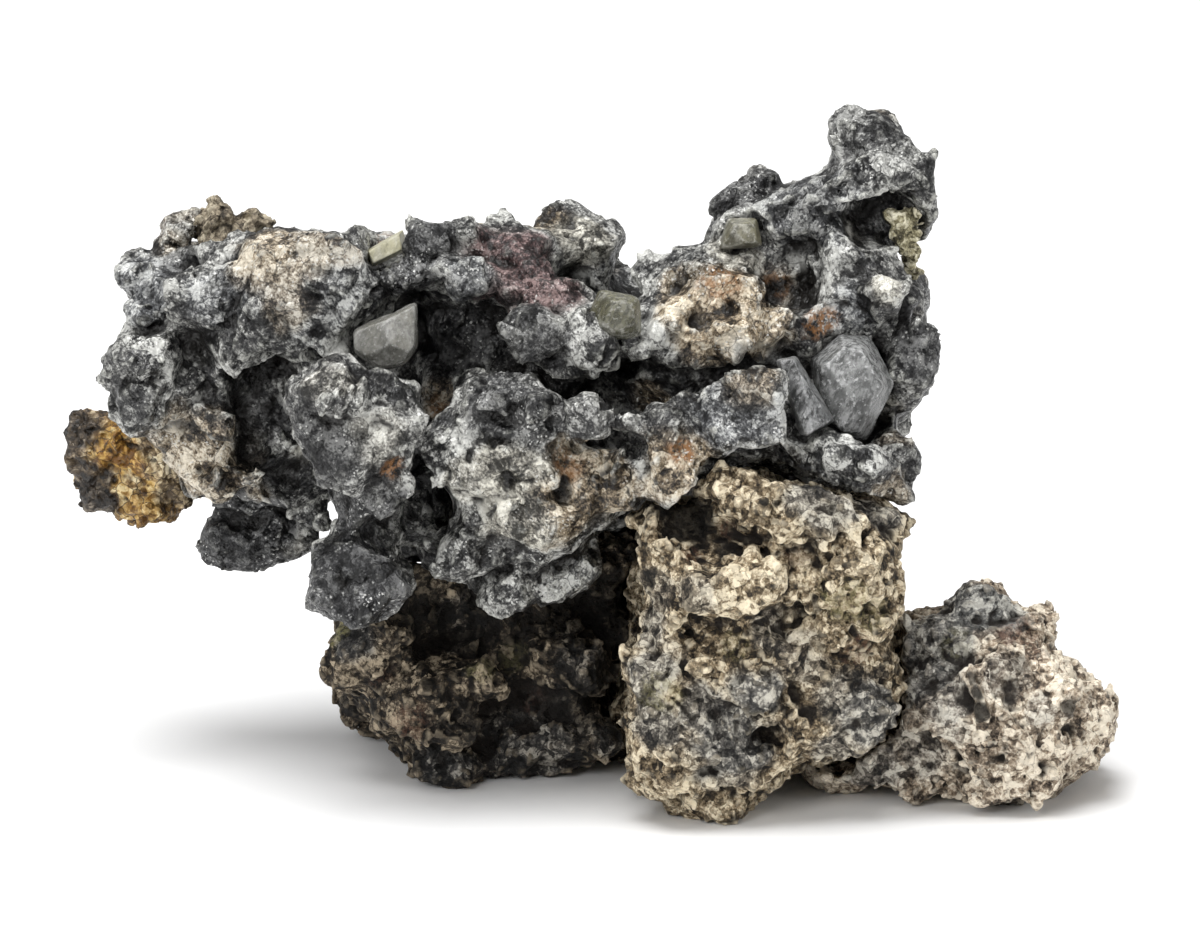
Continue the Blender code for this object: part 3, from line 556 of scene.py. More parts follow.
class Nodes:
    def __init__(self, name):
        self.material = bpy.data.materials.new(name)
        self.material.use_nodes = True
        self.tree = self.material.node_tree
        self.shader = self.tree.nodes["Principled BSDF"]
        self.place = self.tree.nodes.new("ShaderNodeTexCoord").outputs["Object"]

    def put(self, socket, value):
        if isinstance(value, bpy.types.NodeSocket):
            self.tree.links.new(value, socket)
        elif socket.type == "RGBA":
            socket.default_value = (*value, 1)
        else:
            socket.default_value = value

    def node(self, kind, **inputs):
        # a new node with these inputs; the spaces in an input's name are written as underscores
        node = self.tree.nodes.new("ShaderNode" + kind)
        for name, value in inputs.items():
            self.put(node.inputs[name.replace("_", " ")], value)
        return node

    def vector(self, operation, a, b, output="Vector"):
        node = self.node("VectorMath")
        node.operation = operation
        self.put(node.inputs[0], a)
        self.put(node.inputs["Scale" if operation == "SCALE" else 1], b)
        return node.outputs[output]

    def drawnOut(self, turn, stretch):
        # the place as it is read by streaks that run along upright after this turn
        angles = tuple(math.radians(angle) for angle in turn)
        node = self.node("Mapping", Vector=self.place, Rotation=angles, Scale=(1, 1, stretch))
        node.vector_type = "TEXTURE"
        return node.outputs["Vector"]

    def streaked(self, size, stretch):
        # streaks in each of the three ways, with the one chosen that the face's grain has
        values = [self.noise(size, 2, 0.7, self.drawnOut(turn, stretch)) for turn in grainTurns]
        grain = self.number("grain")
        first = self.mix(self.band(grain, 0.4, 0.6), values[0], values[1])
        return self.mix(self.band(grain, 1.4, 1.6), first, values[2])

    def noise(self, size, detail, rough, place=None, output="Fac"):
        node = self.node("TexNoise", Scale=1000 / size, Detail=detail, Roughness=rough,
                         Vector=place or self.place)
        return node.outputs[output]

    def grains(self, size):
        # one random number for every little cell
        return self.node("TexVoronoi", Scale=1000 / size, Vector=self.place).outputs["Color"]

    def wavy(self, size, amount):
        # the place pushed about by noise, so that cells get uneven borders
        push = self.vector("SUBTRACT", self.noise(size, 2, 0.5, output="Color"), (0.5, 0.5, 0.5))
        return self.vector("ADD", self.place, self.vector("SCALE", push, amount * 0.001))

    def broken(self, size, place):
        # cells of broken rock: a tone for each, nought on the cracks between them, and the height
        # in mm of a flat face that leans its own way in every cell
        cell, edge = (self.node("TexVoronoi", Scale=1000 / size, Vector=place) for _ in range(2))
        edge.feature = "DISTANCE_TO_EDGE"
        lean = self.vector("SUBTRACT", cell.outputs["Color"], (0.5, 0.5, 0.5))
        away = self.vector("SUBTRACT", place, cell.outputs["Position"])
        height = self.vector("DOT_PRODUCT", away, lean, "Value")
        crack = self.band(edge.outputs["Distance"], 0.0, 0.05)
        return cell.outputs["Color"], crack, self.times(height, 1000.0)

    def number(self, name):
        node = self.node("Attribute")
        node.attribute_name = name
        return node.outputs["Fac"]

    def math(self, operation, a, b):
        node = self.node("Math")
        node.operation = operation
        self.put(node.inputs[0], a)
        self.put(node.inputs[1], b)
        return node.outputs[0]

    def times(self, a, b):
        return self.math("MULTIPLY", a, b)

    def total(self, *parts):
        # the sum of values, each times its own share
        sofar = None
        for value, share in parts:
            part = value if share == 1 else self.times(value, share)
            sofar = part if sofar is None else self.math("ADD", sofar, part)
        return sofar

    def band(self, value, low, high, out=(0.0, 1.0)):
        # goes smoothly from one number of out to the other, while the value goes from low to high
        node = self.node("MapRange", Value=value, From_Min=low, From_Max=high,
                         To_Min=out[0], To_Max=out[1])
        node.interpolation_type = "SMOOTHSTEP"
        return node.outputs["Result"]

    def mix(self, share, a, b):
        node = self.node("Mix", Factor=share)
        node.data_type = "RGBA"
        self.put(node.inputs[6], a)
        self.put(node.inputs[7], b)
        return node.outputs[2]

    def shades(self, value, stops, colours):
        # each colour is reached when the value comes to its stop
        node = self.node("ValToRGB", Fac=value)
        bar = node.color_ramp
        while len(bar.elements) < len(stops):
            bar.elements.new(0.5)
        for element, stop, colour in zip(bar.elements, stops, colours):
            element.position = stop
            element.color = (*colour, 1)
        return node.outputs["Color"]

    def covered(self, base, *layers):
        # the base with a colour laid over it for each layer (share, colour), one after another
        for share, colour in layers:
            base = self.mix(share, base, colour)
        return base

    def zoned(self, value, settings):
        # the shades called base, with every other zone's laid over them by that zone's number
        layers = {name: self.shades(value, settings["stops"], colours)
                  for name, colours in settings["shades"].items()}
        base = layers.pop("base")
        return self.covered(base, *((self.number(name), shades) for name, shades in layers.items()))

    def bump(self, height):
        # the height is in mm
        return self.node("Bump", Distance=0.001, Height=height).outputs["Normal"]

    def finish(self, **sockets):
        for name, value in sockets.items():
            self.put(self.shader.inputs[name.replace("_", " ")], value)
        return self.material


# the lead

# in every piece's settings: the grid's step, how many rounds of softening and how far out its
# first shape goes, the most triangles it keeps, how finely and widely tip and hollow are read,
# and the depth behind which noise spreads the zones, each by its own share
lead = dict(
    node="lead_mass", name="nativeLead", slot="lead", step=0.15, rounds=0, out=0.1, most=197000,
    fine=3, wide=24, behind=4.0, spread=dict(tan=0.8, slate=0.7, rust=0.4, pale=0.3),
    chips=dict(seed=5, count=90, size=1.7, sink=0.78, flats=9, blend=0.03),
    flats=dict(seed=7, count=650, size=2.4, lean=0.18, deep=0.14, cut=0.8),
    nicks=dict(seed=8, count=1500, size=0.8, lean=0.25, deep=0.05, cut=0.2),
    crumbs=dict(seed=6, count=70, size=0.40, sink=0.6, flats=7, blend=0.02),
    lumpBlend=0.03, hollowBlend=0.08,
    # patches of the front that look alike: (across, up, radius, strength)
    zones=dict(
        tan=((-19.4, 16.0, 2.6, 0.75), (-14.4, 26.2, 1.6, 0.6), (-0.4, 14.6, 2.1, 0.9),
             (-1.6, 13.0, 1.6, 0.5), (-16.5, 26.6, 1.9, 0.8), (-15.0, 23.5, 1.2, 0.5),
             (-17.5, 13.9, 1.1, 0.8), (-19.0, 17.8, 1.0, 0.5), (-17.8, 15.5, 1.3, 0.6),
             (-19.5, 15.4, 1.3, 0.8), (5.5, 23.6, 1.9, 1.0), (7.5, 23.4, 1.8, 1.0), (8.6, 22.3, 1.3, 0.8),
             (6.0, 22.2, 1.5, 0.9), (4.6, 24.4, 1.1, 0.8), (8.0, 19.9, 1.3, 0.6), (3.2, 15.6, 1.3, 0.9),
             (4.8, 15.2, 1.5, 0.9), (5.8, 14.4, 1.3, 0.9), (-0.8, 14.8, 1.6, 0.8), (-2.2, 27.6, 1.1, 0.9),
             (-7.5, 18.9, 0.9, 0.8), (3.0, 19.1, 1.0, 0.8), (9.2, 24.0, 1.2, 0.6),
             (-21.0, 26.6, 0.8, 0.4), (-12.5, 26.8, 1.2, 0.5), (15.2, 17.0, 0.9, 0.4),
             (14.8, 14.4, 1.2, 0.6)),
        rust=((9.0, 24.5, 0.8, 1.0), (11.4, 22.8, 0.7, 0.9), (6.3, 24.9, 0.9, 0.7),
              (-9.9, 15.6, 0.6, 0.9), (4.5, 16.2, 0.6, 1.0), (-1.0, 15.6, 0.7, 0.7),
              (-10.2, 26.9, 0.5, 0.4), (-7.6, 18.6, 0.6, 0.6)),
        pale=((-3.9, 15.2, 1.5, 0.9), (-3.6, 12.9, 1.6, 0.9), (-0.6, 27.1, 1.3, 0.9),
              (-6.2, 14.6, 1.1, 0.6), (-10.6, 17.0, 1.1, 0.4), (1.0, 26.6, 0.8, 0.6),
              (-4.0, 15.2, 0.9, 0.9), (-3.6, 13.1, 1.2, 0.8), (-4.9, 14.6, 0.5, 0.8),
              (-14.6, 16.3, 0.6, 0.9), (-13.4, 19.8, 0.8, 0.4), (-12.0, 19.6, 0.7, 0.4),
              (7.5, 25.9, 1.0, 0.8), (6.6, 26.1, 0.7, 0.8), (14.8, 24.4, 0.8, 0.7),
              (14.7, 18.6, 0.6, 0.7), (-17.8, 13.8, 0.7, 0.7), (13.0, 27.3, 0.6, 0.5),
              (-15.3, 11.8, 0.8, 0.6), (-4.8, 26.9, 0.5, 0.5)),
        plate=((-3.6, 25.6, 1.9, 1.0), (-2.0, 24.8, 1.5, 1.0), (-4.9, 26.2, 1.3, 1.0)),
        glassy=((-22.0, 21.0, 1.1, 1.0), (-22.4, 18.7, 1.1, 0.9), (-9.0, 25.0, 1.1, 1.0),
                (7.5, 28.6, 1.7, 0.7), (5.6, 25.6, 0.9, 1.0), (-20.4, 27.2, 0.9, 1.0),
                (13.6, 32.2, 1.5, 0.4)),
        slate=((-22.0, 24.5, 1.8, 0.8), (12.9, 23.5, 1.1, 0.8), (7.2, 18.0, 2.1, 0.7),
               (-0.2, 26.2, 1.6, 0.6), (-18.6, 24.0, 1.4, 0.6), (-13.5, 24.6, 2.4, 0.45),
               (11.0, 28.6, 2.2, 0.5), (-5.8, 25.0, 1.2, 0.8)),
        # the darkest zone: painted shade in recesses and under overhangs, and partly darker lead
        shadeAndDark=((-11.6, 10.2, 3.7, 1.0), (-13.4, 16.4, 1.9, 0.85), (-11.4, 13.2, 1.4, 0.8),
               (6.6, 28.6, 2.2, 0.85), (8.4, 29.4, 1.4, 0.8), (13.4, 32.4, 2.2, 0.55),
               (10.6, 28.4, 1.5, 0.5), (16.7, 21.2, 1.9, 0.9), (-8.2, 26.8, 1.4, 0.9),
               (-9.1, 25.0, 1.5, 0.9), (-5.9, 24.9, 1.1, 0.5), (-4.6, 18.6, 1.6, 0.8),
               (-2.7, 18.4, 1.5, 0.6), (-0.2, 18.0, 1.3, 0.5), (-17.0, 18.0, 1.8, 0.9),
               (-6.3, 22.2, 2.0, 1.0), (-8.4, 15.0, 1.3, 0.9), (-3.4, 21.8, 1.8, 0.75),
               (14.4, 28.0, 1.3, 0.9), (-17.6, 12.0, 2.8, 1.0), (-9.3, 12.6, 1.4, 0.8),
               (-15.4, 15.0, 1.4, 0.9), (5.2, 25.6, 1.2, 0.5), (-20.4, 25.4, 1.1, 0.7),
               (-22.6, 18.6, 1.0, 0.4), (0.6, 19.6, 2.0, 0.8), (9.5, 21.0, 1.2, 0.8)),
    ),
    # the shades of every zone from dark to light, and the values at which each is reached
    stops=(0.36, 0.46, 0.56, 0.70),
    shades=dict(
        base=((0.004, 0.004, 0.004), (0.028, 0.028, 0.029), (0.125, 0.124, 0.118), (0.56, 0.56, 0.53)),
        slate=((0.010, 0.010, 0.011), (0.052, 0.055, 0.059), (0.185, 0.19, 0.195), (0.60, 0.61, 0.60)),
        tan=((0.014, 0.010, 0.007), (0.10, 0.075, 0.048), (0.36, 0.285, 0.19), (0.78, 0.69, 0.54)),
        pale=((0.03, 0.028, 0.022), (0.18, 0.17, 0.145), (0.44, 0.42, 0.36), (0.82, 0.79, 0.69)),
        plate=((0.006, 0.004, 0.004), (0.024, 0.014, 0.014), (0.070, 0.042, 0.041), (0.30, 0.21, 0.20)),
        # the darkest row: painted shade and dark lead
        shadeAndDark=((0.003, 0.003, 0.003), (0.007, 0.007, 0.008), (0.024, 0.024, 0.025), (0.13, 0.13, 0.13)),
    ),
    # the colours laid over the shades: rust, wear and painted highlight on ridges, painted glints, cracks,
    # painted shade in creases (groove) and in hollows (deep), and the glassy roughness
    rust=(0.26, 0.12, 0.04), wearAndHighlight=(0.62, 0.62, 0.57), paintedGlint=(0.7, 0.7, 0.67), crack=(0.004, 0.004, 0.004),
    groove=(0.005, 0.005, 0.005), deep=(0.006, 0.005, 0.004), glassy=(0.2, 0.2, 0.2),
    hollows=(
        (5.4, 22.8, 0.7, 0.7, 0.5, 10), (-20.5, 25.6, 0.9, 0.7, 0.45, -20), (-9.0, 16.4, 0.5, 0.6, 0.6, 0),
    ),
    # lumps that stand out of the front: (across, up, width, thickness, height, roll, sink)
    lumps=(
        (-0.1, 17.9, 0.95, 0.9, 1.15, -20, 0.1), (-2.7, 18.5, 0.8, 0.8, 0.75, -30, 0.3),
        (-4.6, 18.6, 0.9, 0.8, 0.85, 20, 0.3), (-8.2, 26.8, 1.0, 0.9, 0.9, 0, 0.3),
        (-9.2, 25.1, 1.15, 0.7, 0.8, -20, 0.3), (-6.0, 25.0, 1.25, 0.7, 0.9, -35, 0.25),
        (-2.7, 22.0, 1.2, 0.8, 1.3, 20, 0.3), (-0.2, 21.7, 1.1, 0.8, 1.25, -20, 0.3),
        (-22.6, 25.0, 0.9, 0.8, 0.75, 10, 0.4), (-22.3, 23.3, 0.95, 0.8, 0.75, -15, 0.3),
        (-20.4, 27.2, 0.62, 0.62, 0.85, 8, 0.2), (-20.4, 24.4, 0.9, 0.8, 0.95, 30, 0.3),
        (-22.1, 21.0, 1.0, 0.8, 1.0, 0, 0.3), (-22.5, 18.9, 1.0, 0.8, 1.0, 25, 0.3),
        (-20.2, 20.0, 0.85, 0.8, 1.25, 20, 0.3), (-18.7, 24.0, 1.15, 0.8, 1.15, 10, 0.3),
        (-16.9, 22.3, 0.85, 0.7, 1.35, 15, 0.3), (-15.2, 26.3, 1.3, 0.8, 0.8, 5, 0.3),
        (-17.6, 26.5, 1.0, 0.8, 0.7, -10, 0.3), (-20.2, 15.2, 1.2, 0.8, 0.9, 20, 0.3),
        (-18.5, 14.9, 1.0, 0.8, 1.0, -15, 0.3), (-18.8, 17.6, 1.1, 0.8, 1.0, 35, 0.35),
        (-12.9, 19.0, 0.32, 0.5, 1.05, 32, 0.1), (-12.1, 18.8, 0.30, 0.5, 1.0, 22, 0.1),
        (-11.4, 18.9, 0.28, 0.5, 0.9, 8, 0.1), (-18.3, 12.0, 0.95, 0.8, 0.8, 15, 0.3),
        (-16.8, 11.8, 0.85, 0.8, 0.7, -10, 0.3), (-7.6, 13.2, 0.42, 0.5, 0.5, 0, 0.0),
        (1.6, 15.3, 0.7, 0.8, 1.05, 5, 0.3), (-7.8, 10.9, 0.75, 0.8, 1.05, -10, 0.3),
        (-5.1, 20.8, 0.32, 0.4, 0.8, 12, 0.1), (8.6, 30.0, 0.7, 0.7, 0.4, 10, 0.2),
        (7.0, 28.9, 1.1, 0.9, 0.9, 0, 0.4), (14.8, 24.4, 1.15, 0.7, 0.55, -10, 0.2),
        (16.5, 22.0, 0.75, 0.8, 0.9, 0, 0.3), (16.6, 20.6, 0.7, 0.8, 0.8, 20, 0.3),
        (16.7, 29.7, 0.18, 0.3, 0.9, -35, 0.0), (13.9, 15.8, 0.9, 0.8, 0.8, 10, 0.3),
        (8.9, 19.2, 0.9, 0.6, 0.7, 30, 0.3), (-10.2, 13.8, 0.6, 0.6, 0.7, 0, 0.2),
        (-9.1, 14.6, 0.5, 0.6, 0.6, 20, 0.2), (5.6, 25.5, 1.2, 0.6, 0.5, 15, 0.2),
    ),
    # flat faces struck on the front: (across, up, radius, lean across, lean up, deep)
    faces=(
        (-12.9, 16.5, 2.0, -0.5, 0.1, 0.15), (-10.3, 17.1, 1.8, 0.25, 0.05, 0.2),
        (-12.4, 20.2, 1.3, -0.1, 0.6, 0.12), (-11.6, 10.2, 2.0, 0.0, 0.1, 0.15),
        (-3.6, 15.0, 1.6, 0.15, -0.15, 0.2), (-3.4, 12.8, 1.6, -0.1, -0.35, 0.2),
        (-6.8, 16.2, 1.7, -0.45, 0.1, 0.2), (-4.5, 17.6, 1.5, 0.1, 0.45, 0.15),
        (-0.4, 14.6, 1.4, 0.4, -0.1, 0.15), (-5.0, 10.6, 1.2, 0.0, -0.5, 0.15),
        (7.2, 18.0, 2.3, 0.1, 0.35, 0.25), (4.4, 15.0, 1.4, -0.1, -0.2, 0.15),
        (6.0, 22.4, 1.8, -0.2, -0.1, 0.2), (12.8, 23.2, 1.5, 0.1, 0.1, 0.2),
        (9.2, 24.2, 1.2, 0.0, 0.3, 0.15), (11.0, 28.6, 2.0, -0.3, 0.4, 0.2),
        (13.5, 30.2, 1.8, 0.1, 0.2, 0.2), (13.8, 32.6, 1.5, -0.1, 0.2, 0.12),
        (16.4, 20.8, 1.5, 0.5, 0.0, 0.15), (-3.4, 25.4, 2.1, 0.2, 0.5, 0.2),
        (-0.4, 27.0, 1.4, 0.1, 0.5, 0.12), (-5.8, 25.0, 1.1, -0.1, 0.3, 0.12),
        (-9.1, 25.0, 1.0, 0.0, 0.3, 0.12), (-13.6, 24.6, 2.4, 0.1, 0.3, 0.25),
        (-22.3, 24.4, 1.4, -0.3, 0.2, 0.1), (-22.0, 20.6, 1.3, -0.3, 0.1, 0.1),
        (-18.8, 24.0, 1.4, 0.0, 0.2, 0.15), (-19.6, 16.8, 1.8, -0.2, -0.2, 0.2),
        (-16.8, 22.2, 1.3, 0.2, 0.1, 0.15), (-17.4, 12.0, 1.3, 0.0, -0.1, 0.12),
    ),
    # ridges and cracks: (radius, (across, up), ...)
    ridges=(
        (0.60, (-15.0, 13.2), (-13.6, 12.9), (-12.2, 12.6)),
        (0.30, (8.2, 26.9), (10.4, 28.4), (12.6, 29.9), (14.8, 31.3)),
        (0.22, (8.6, 28.0), (10.6, 29.3), (12.4, 30.5)),
        (0.24, (12.0, 24.0), (12.2, 25.4), (12.3, 27.0)),
        (0.20, (12.0, 27.0), (13.1, 27.9), (14.0, 27.2)),
        (0.18, (12.0, 26.0), (11.3, 24.5)),
        (0.18, (12.1, 25.3), (13.2, 24.2)),
    ),
    cracks=(
        (0.16, (-17.0, 24.8), (-17.6, 23.8), (-18.5, 22.6)),
        (0.14, (-5.0, 13.8), (-3.2, 14.2), (-2.0, 14.7)),
        (0.16, (-20.9, 22.6), (-20.2, 21.4), (-19.7, 20.0), (-19.4, 18.6)),
        (0.12, (-12.9, 25.6), (-11.6, 24.0), (-11.0, 22.8)),
        (0.14, (-15.8, 22.2), (-14.2, 22.9), (-12.6, 22.4)),
        (0.12, (11.7, 31.8), (13.6, 31.3), (15.8, 31.6)),
    ),
)


def leadRelief(points, normals):
    # grain that runs its own way over each flat, small broken faces, and cracks between cells
    wavy = bent(points, size=1.6, amount=0.25, seed=3)
    grain = 0.04 * streaks(points, grainNumber(points, normals), size=0.42, seed=5)
    broken = (facets(wavy, size=1.6, seed=11, tilt=0.25, step=0.07)
              + facets(wavy, size=0.6, seed=23, tilt=0.28, step=0.04))
    return grain + broken - 0.16 * seams(points, size=2.6, seed=31, width=0.09)


def leadFinish():
    # four shades from dark to light in every zone, by grit, streaks, slow noise and each face's
    # tone; ridges painted lighter as wear and painted highlight, cracks, painted glints, and painted shade
    # in creases and hollows are laid over them
    n = Nodes("leadFinish")
    hollow, tip, tone = n.number("hollow"), n.number("tip"), n.number("tone")
    toneA, crackA, leanA = n.broken(1.2, n.wavy(0.6, 0.7))
    toneB, _, leanB = n.broken(0.42, n.wavy(0.3, 0.35))
    streak, speck = n.streaked(0.14, 3.5), n.grains(0.10)
    grit, slow = n.noise(0.3, 4, 0.7), n.noise(2.2, 3, 0.6)
    value = n.total((toneA, 0.28), (toneB, 0.22), (speck, 0.16), (streak, 0.45), (grit, 0.40),
                    (tone, 0.14), (slow, 0.75), (-0.655, 1))
    rusty = n.times(n.number("rust"), n.band(grit, 0.4, 0.55))
    dull = n.math("ADD", n.number("plate"), n.number("shadeAndDark"))
    # ridges, where tip is above nought, painted lighter, partly as wear and partly as painted highlight;
    # less where it is dull
    wearAndHighlight = n.times(n.band(tip, 0.03, 0.11), n.band(grit, 0.42, 0.58, (0.1, 0.7)))
    wearAndHighlight = n.times(wearAndHighlight, n.band(dull, 0.2, 1, (1, 0.3)))
    base = n.covered(n.zoned(value, lead), (rusty, lead["rust"]), (wearAndHighlight, lead["wearAndHighlight"]))
    cracks = n.math("MAXIMUM", crackA, n.band(n.noise(0.9, 2, 0.6), 0.46, 0.58))
    base = n.mix(cracks, n.mix(0.35, lead["crack"], base), base)
    # painted glints: bright flecks where the finest specks and the slow noise meet
    paintedGlints = n.times(n.band(speck, 0.79, 0.86), n.band(slow, 0.46, 0.58, (0, 0.7)))
    # painted shade: creases, where tip is below nought, and hollows are painted nearly black
    base = n.covered(base, (paintedGlints, lead["paintedGlint"]),
                     (n.band(tip, -0.02, -0.12, (0, 0.85)), lead["groove"]),
                     (n.band(hollow, 0.0, -0.35, (0, 0.93)), lead["deep"]))
    rough = n.mix(n.number("glassy"), n.band(speck, 0.3, 0.7, (0.55, 0.3)), lead["glassy"])
    normal = n.bump(n.total((leanA, 0.8), (leanB, 0.7), (streak, 0.08)))
    return n.finish(Base_Color=base, Metallic=0.15, Roughness=rough, Normal=normal)


def makeLead():
    solid = solidOf(lead)
    scatter(solid, lead["chips"])
    knap(solid, lead["flats"])
    putChips(solid, lead["lumps"], lead["lumpBlend"])
    putFlats(solid, lead["faces"])
    drawLines(solid, lead["ridges"], True)
    putHollows(solid, lead["hollows"], lead["hollowBlend"])
    knap(solid, lead["nicks"])
    roughen(solid, leadRelief)
    scatter(solid, lead["crumbs"])
    drawLines(solid, lead["cracks"], False)
    for crystal in crystals:
        carveRoom(solid, crystal)
    finished(solid, lead, leadFinish())


# the crusted matrix: the looks that every crust has, what the three pieces have alike, and each

crustLooks = dict(
    slot="crust", stops=(0.36, 0.46, 0.56, 0.68), green=(0.25, 0.23, 0.10), rust=(0.17, 0.075, 0.045),
    # deep is painted shade in hollows; the last colour is painted shade, and dark crust, where the darkest
    # zone is
    deep=(0.010, 0.007, 0.005), shadeAndDark=(0.006, 0.005, 0.004),
)

matrix = dict(
    crustLooks, rounds=2, fine=3, wide=20, hollowBlend=0.25, lumpBlend=0.04,
    hollows=(), chips=(), ledges=(), nodules=None, cracks=(),
    flats=dict(seed=17, count=320, size=1.9, lean=0.2, deep=0.12, cut=0.6),
    nicks=dict(seed=18, count=500, size=0.65, lean=0.3, deep=0.05, cut=0.2),
)

block = dict(
    matrix, node="matrix_block", name="frontBlock", step=0.13, out=0.10, most=197000,
    behind=-2.0, spread=dict(grey=0.9, cream=0.6, rust=0.3), crumbly=1.6, shift=0.0, lumpBlend=0.06,
    colours=((0.012, 0.009, 0.006), (0.085, 0.062, 0.036), (0.32, 0.245, 0.15), (0.86, 0.75, 0.55)),
    greys=((0.010, 0.010, 0.010), (0.055, 0.055, 0.053), (0.15, 0.148, 0.14), (0.54, 0.52, 0.46)),
    lumps=dict(seed=15, count=110, size=1.1, sink=0.7, flats=8, blend=0.05),
    crumbs=dict(seed=14, count=450, size=0.34, sink=0.3, flats=7, blend=0.03),
    nodules=dict(seed=16, count=420, size=0.42, sink=0.15, blend=0.04),
    zones=dict(
        grey=((11.8, 13.9, 1.6, 0.8), (14.4, 13.4, 1.2, 0.8), (3.2, 7.6, 1.2, 0.7), (3.0, 5.2, 1.2, 0.8),
              (5.6, 3.6, 1.4, 0.8), (12.6, 4.2, 1.4, 0.7), (11.0, 5.6, 0.9, 0.5), (7.2, 0.6, 1.2, 0.6),
              (8.2, 4.3, 1.2, 0.9), (6.8, 2.0, 1.9, 0.9), (3.2, 2.9, 1.2, 0.8), (3.4, 9.4, 1.3, 0.5),
              (14.2, 3.4, 1.7, 0.9), (9.0, 7.2, 1.0, 0.6), (3.6, 6.0, 1.0, 0.4), (12.6, 1.8, 1.3, 0.7),
              (5.0, 9.0, 1.1, 0.5), (10.4, 6.6, 0.9, 0.5)),
        cream=((11.7, 12.5, 1.2, 1.0), (8.0, 10.8, 0.9, 0.9), (7.3, 9.5, 1.2, 1.0), (10.7, 9.8, 0.9, 0.9),
               (12.6, 9.4, 1.6, 0.8), (9.4, 12.0, 1.6, 0.8), (13.4, 11.4, 1.3, 0.8),
               (8.8, 13.6, 1.5, 0.7), (4.0, 4.4, 1.2, 0.7), (9.8, 2.6, 1.0, 0.6), (5.2, 0.4, 1.3, 0.6),
               (11.0, 7.6, 1.2, 0.7)),
        rust=((7.0, 12.5, 0.5, 1.0), (5.0, 10.8, 0.7, 0.6), (10.4, 11.2, 0.6, 0.5), (13.4, 6.6, 0.7, 0.4)),
        green=((3.5, 4.5, 0.8, 0.6), (13.9, 8.3, 0.8, 0.5), (12.8, 9.0, 1.0, 0.6), (7.4, 6.6, 0.7, 0.4)),
        # the darkest zone: painted shade in the two hollows and a dark patch
        shadeAndDark=((4.6, 12.8, 1.6, 1.0), (4.8, 7.4, 0.5, 0.7), (7.0, 11.6, 0.7, 0.5)),
    ),
    cracks=(
        (0.22, (12.2, 5.2), (10.8, 5.0), (9.8, 4.3), (9.2, 3.6), (8.0, 3.1)),
        (0.14, (6.2, 8.6), (7.4, 8.0), (8.8, 8.4), (10.0, 8.2)),
        (0.14, (5.6, 4.6), (6.4, 3.2), (6.2, 1.4)),
        (0.12, (10.8, 11.0), (12.4, 11.2), (13.8, 10.2)),
        (0.14, (2.6, 5.0), (3.6, 3.4), (4.6, 2.6)),
    ),
    # nodules and lumps on the front: (across, up, width, thickness, height, roll, sink)
    chips=(
        (11.7, 12.5, 0.75, 0.7, 0.65, 0, 0.2), (8.0, 10.9, 0.55, 0.5, 0.5, 10, 0.1),
        (7.0, 10.9, 0.42, 0.4, 0.42, 0, 0.05), (7.3, 9.5, 0.85, 0.7, 0.75, 20, 0.2),
        (10.8, 9.8, 0.55, 0.5, 0.55, 0, 0.1), (9.6, 9.3, 0.5, 0.5, 0.45, 0, 0.1),
        (8.1, 7.2, 0.45, 0.4, 0.4, 0, 0.1), (12.9, 11.2, 0.6, 0.6, 0.6, 30, 0.15),
        (13.4, 9.4, 0.7, 0.6, 0.6, -20, 0.15), (9.9, 12.4, 0.6, 0.6, 0.5, 10, 0.1),
        (8.3, 4.2, 1.0, 0.6, 0.9, 15, 0.3), (4.0, 1.2, 0.8, 0.6, 0.7, 0, 0.2),
        (5.6, 5.6, 0.6, 0.5, 0.5, 0, 0.1), (12.2, 7.4, 0.7, 0.6, 0.6, 20, 0.2),
        (6.2, 12.9, 0.5, 0.5, 0.45, 0, 0.1),
    ),
    hollows=(
        (4.6, 12.9, 1.5, 1.2, 0.9, -15), (4.8, 7.4, 0.5, 0.4, 0.35, 20),
    ),
)

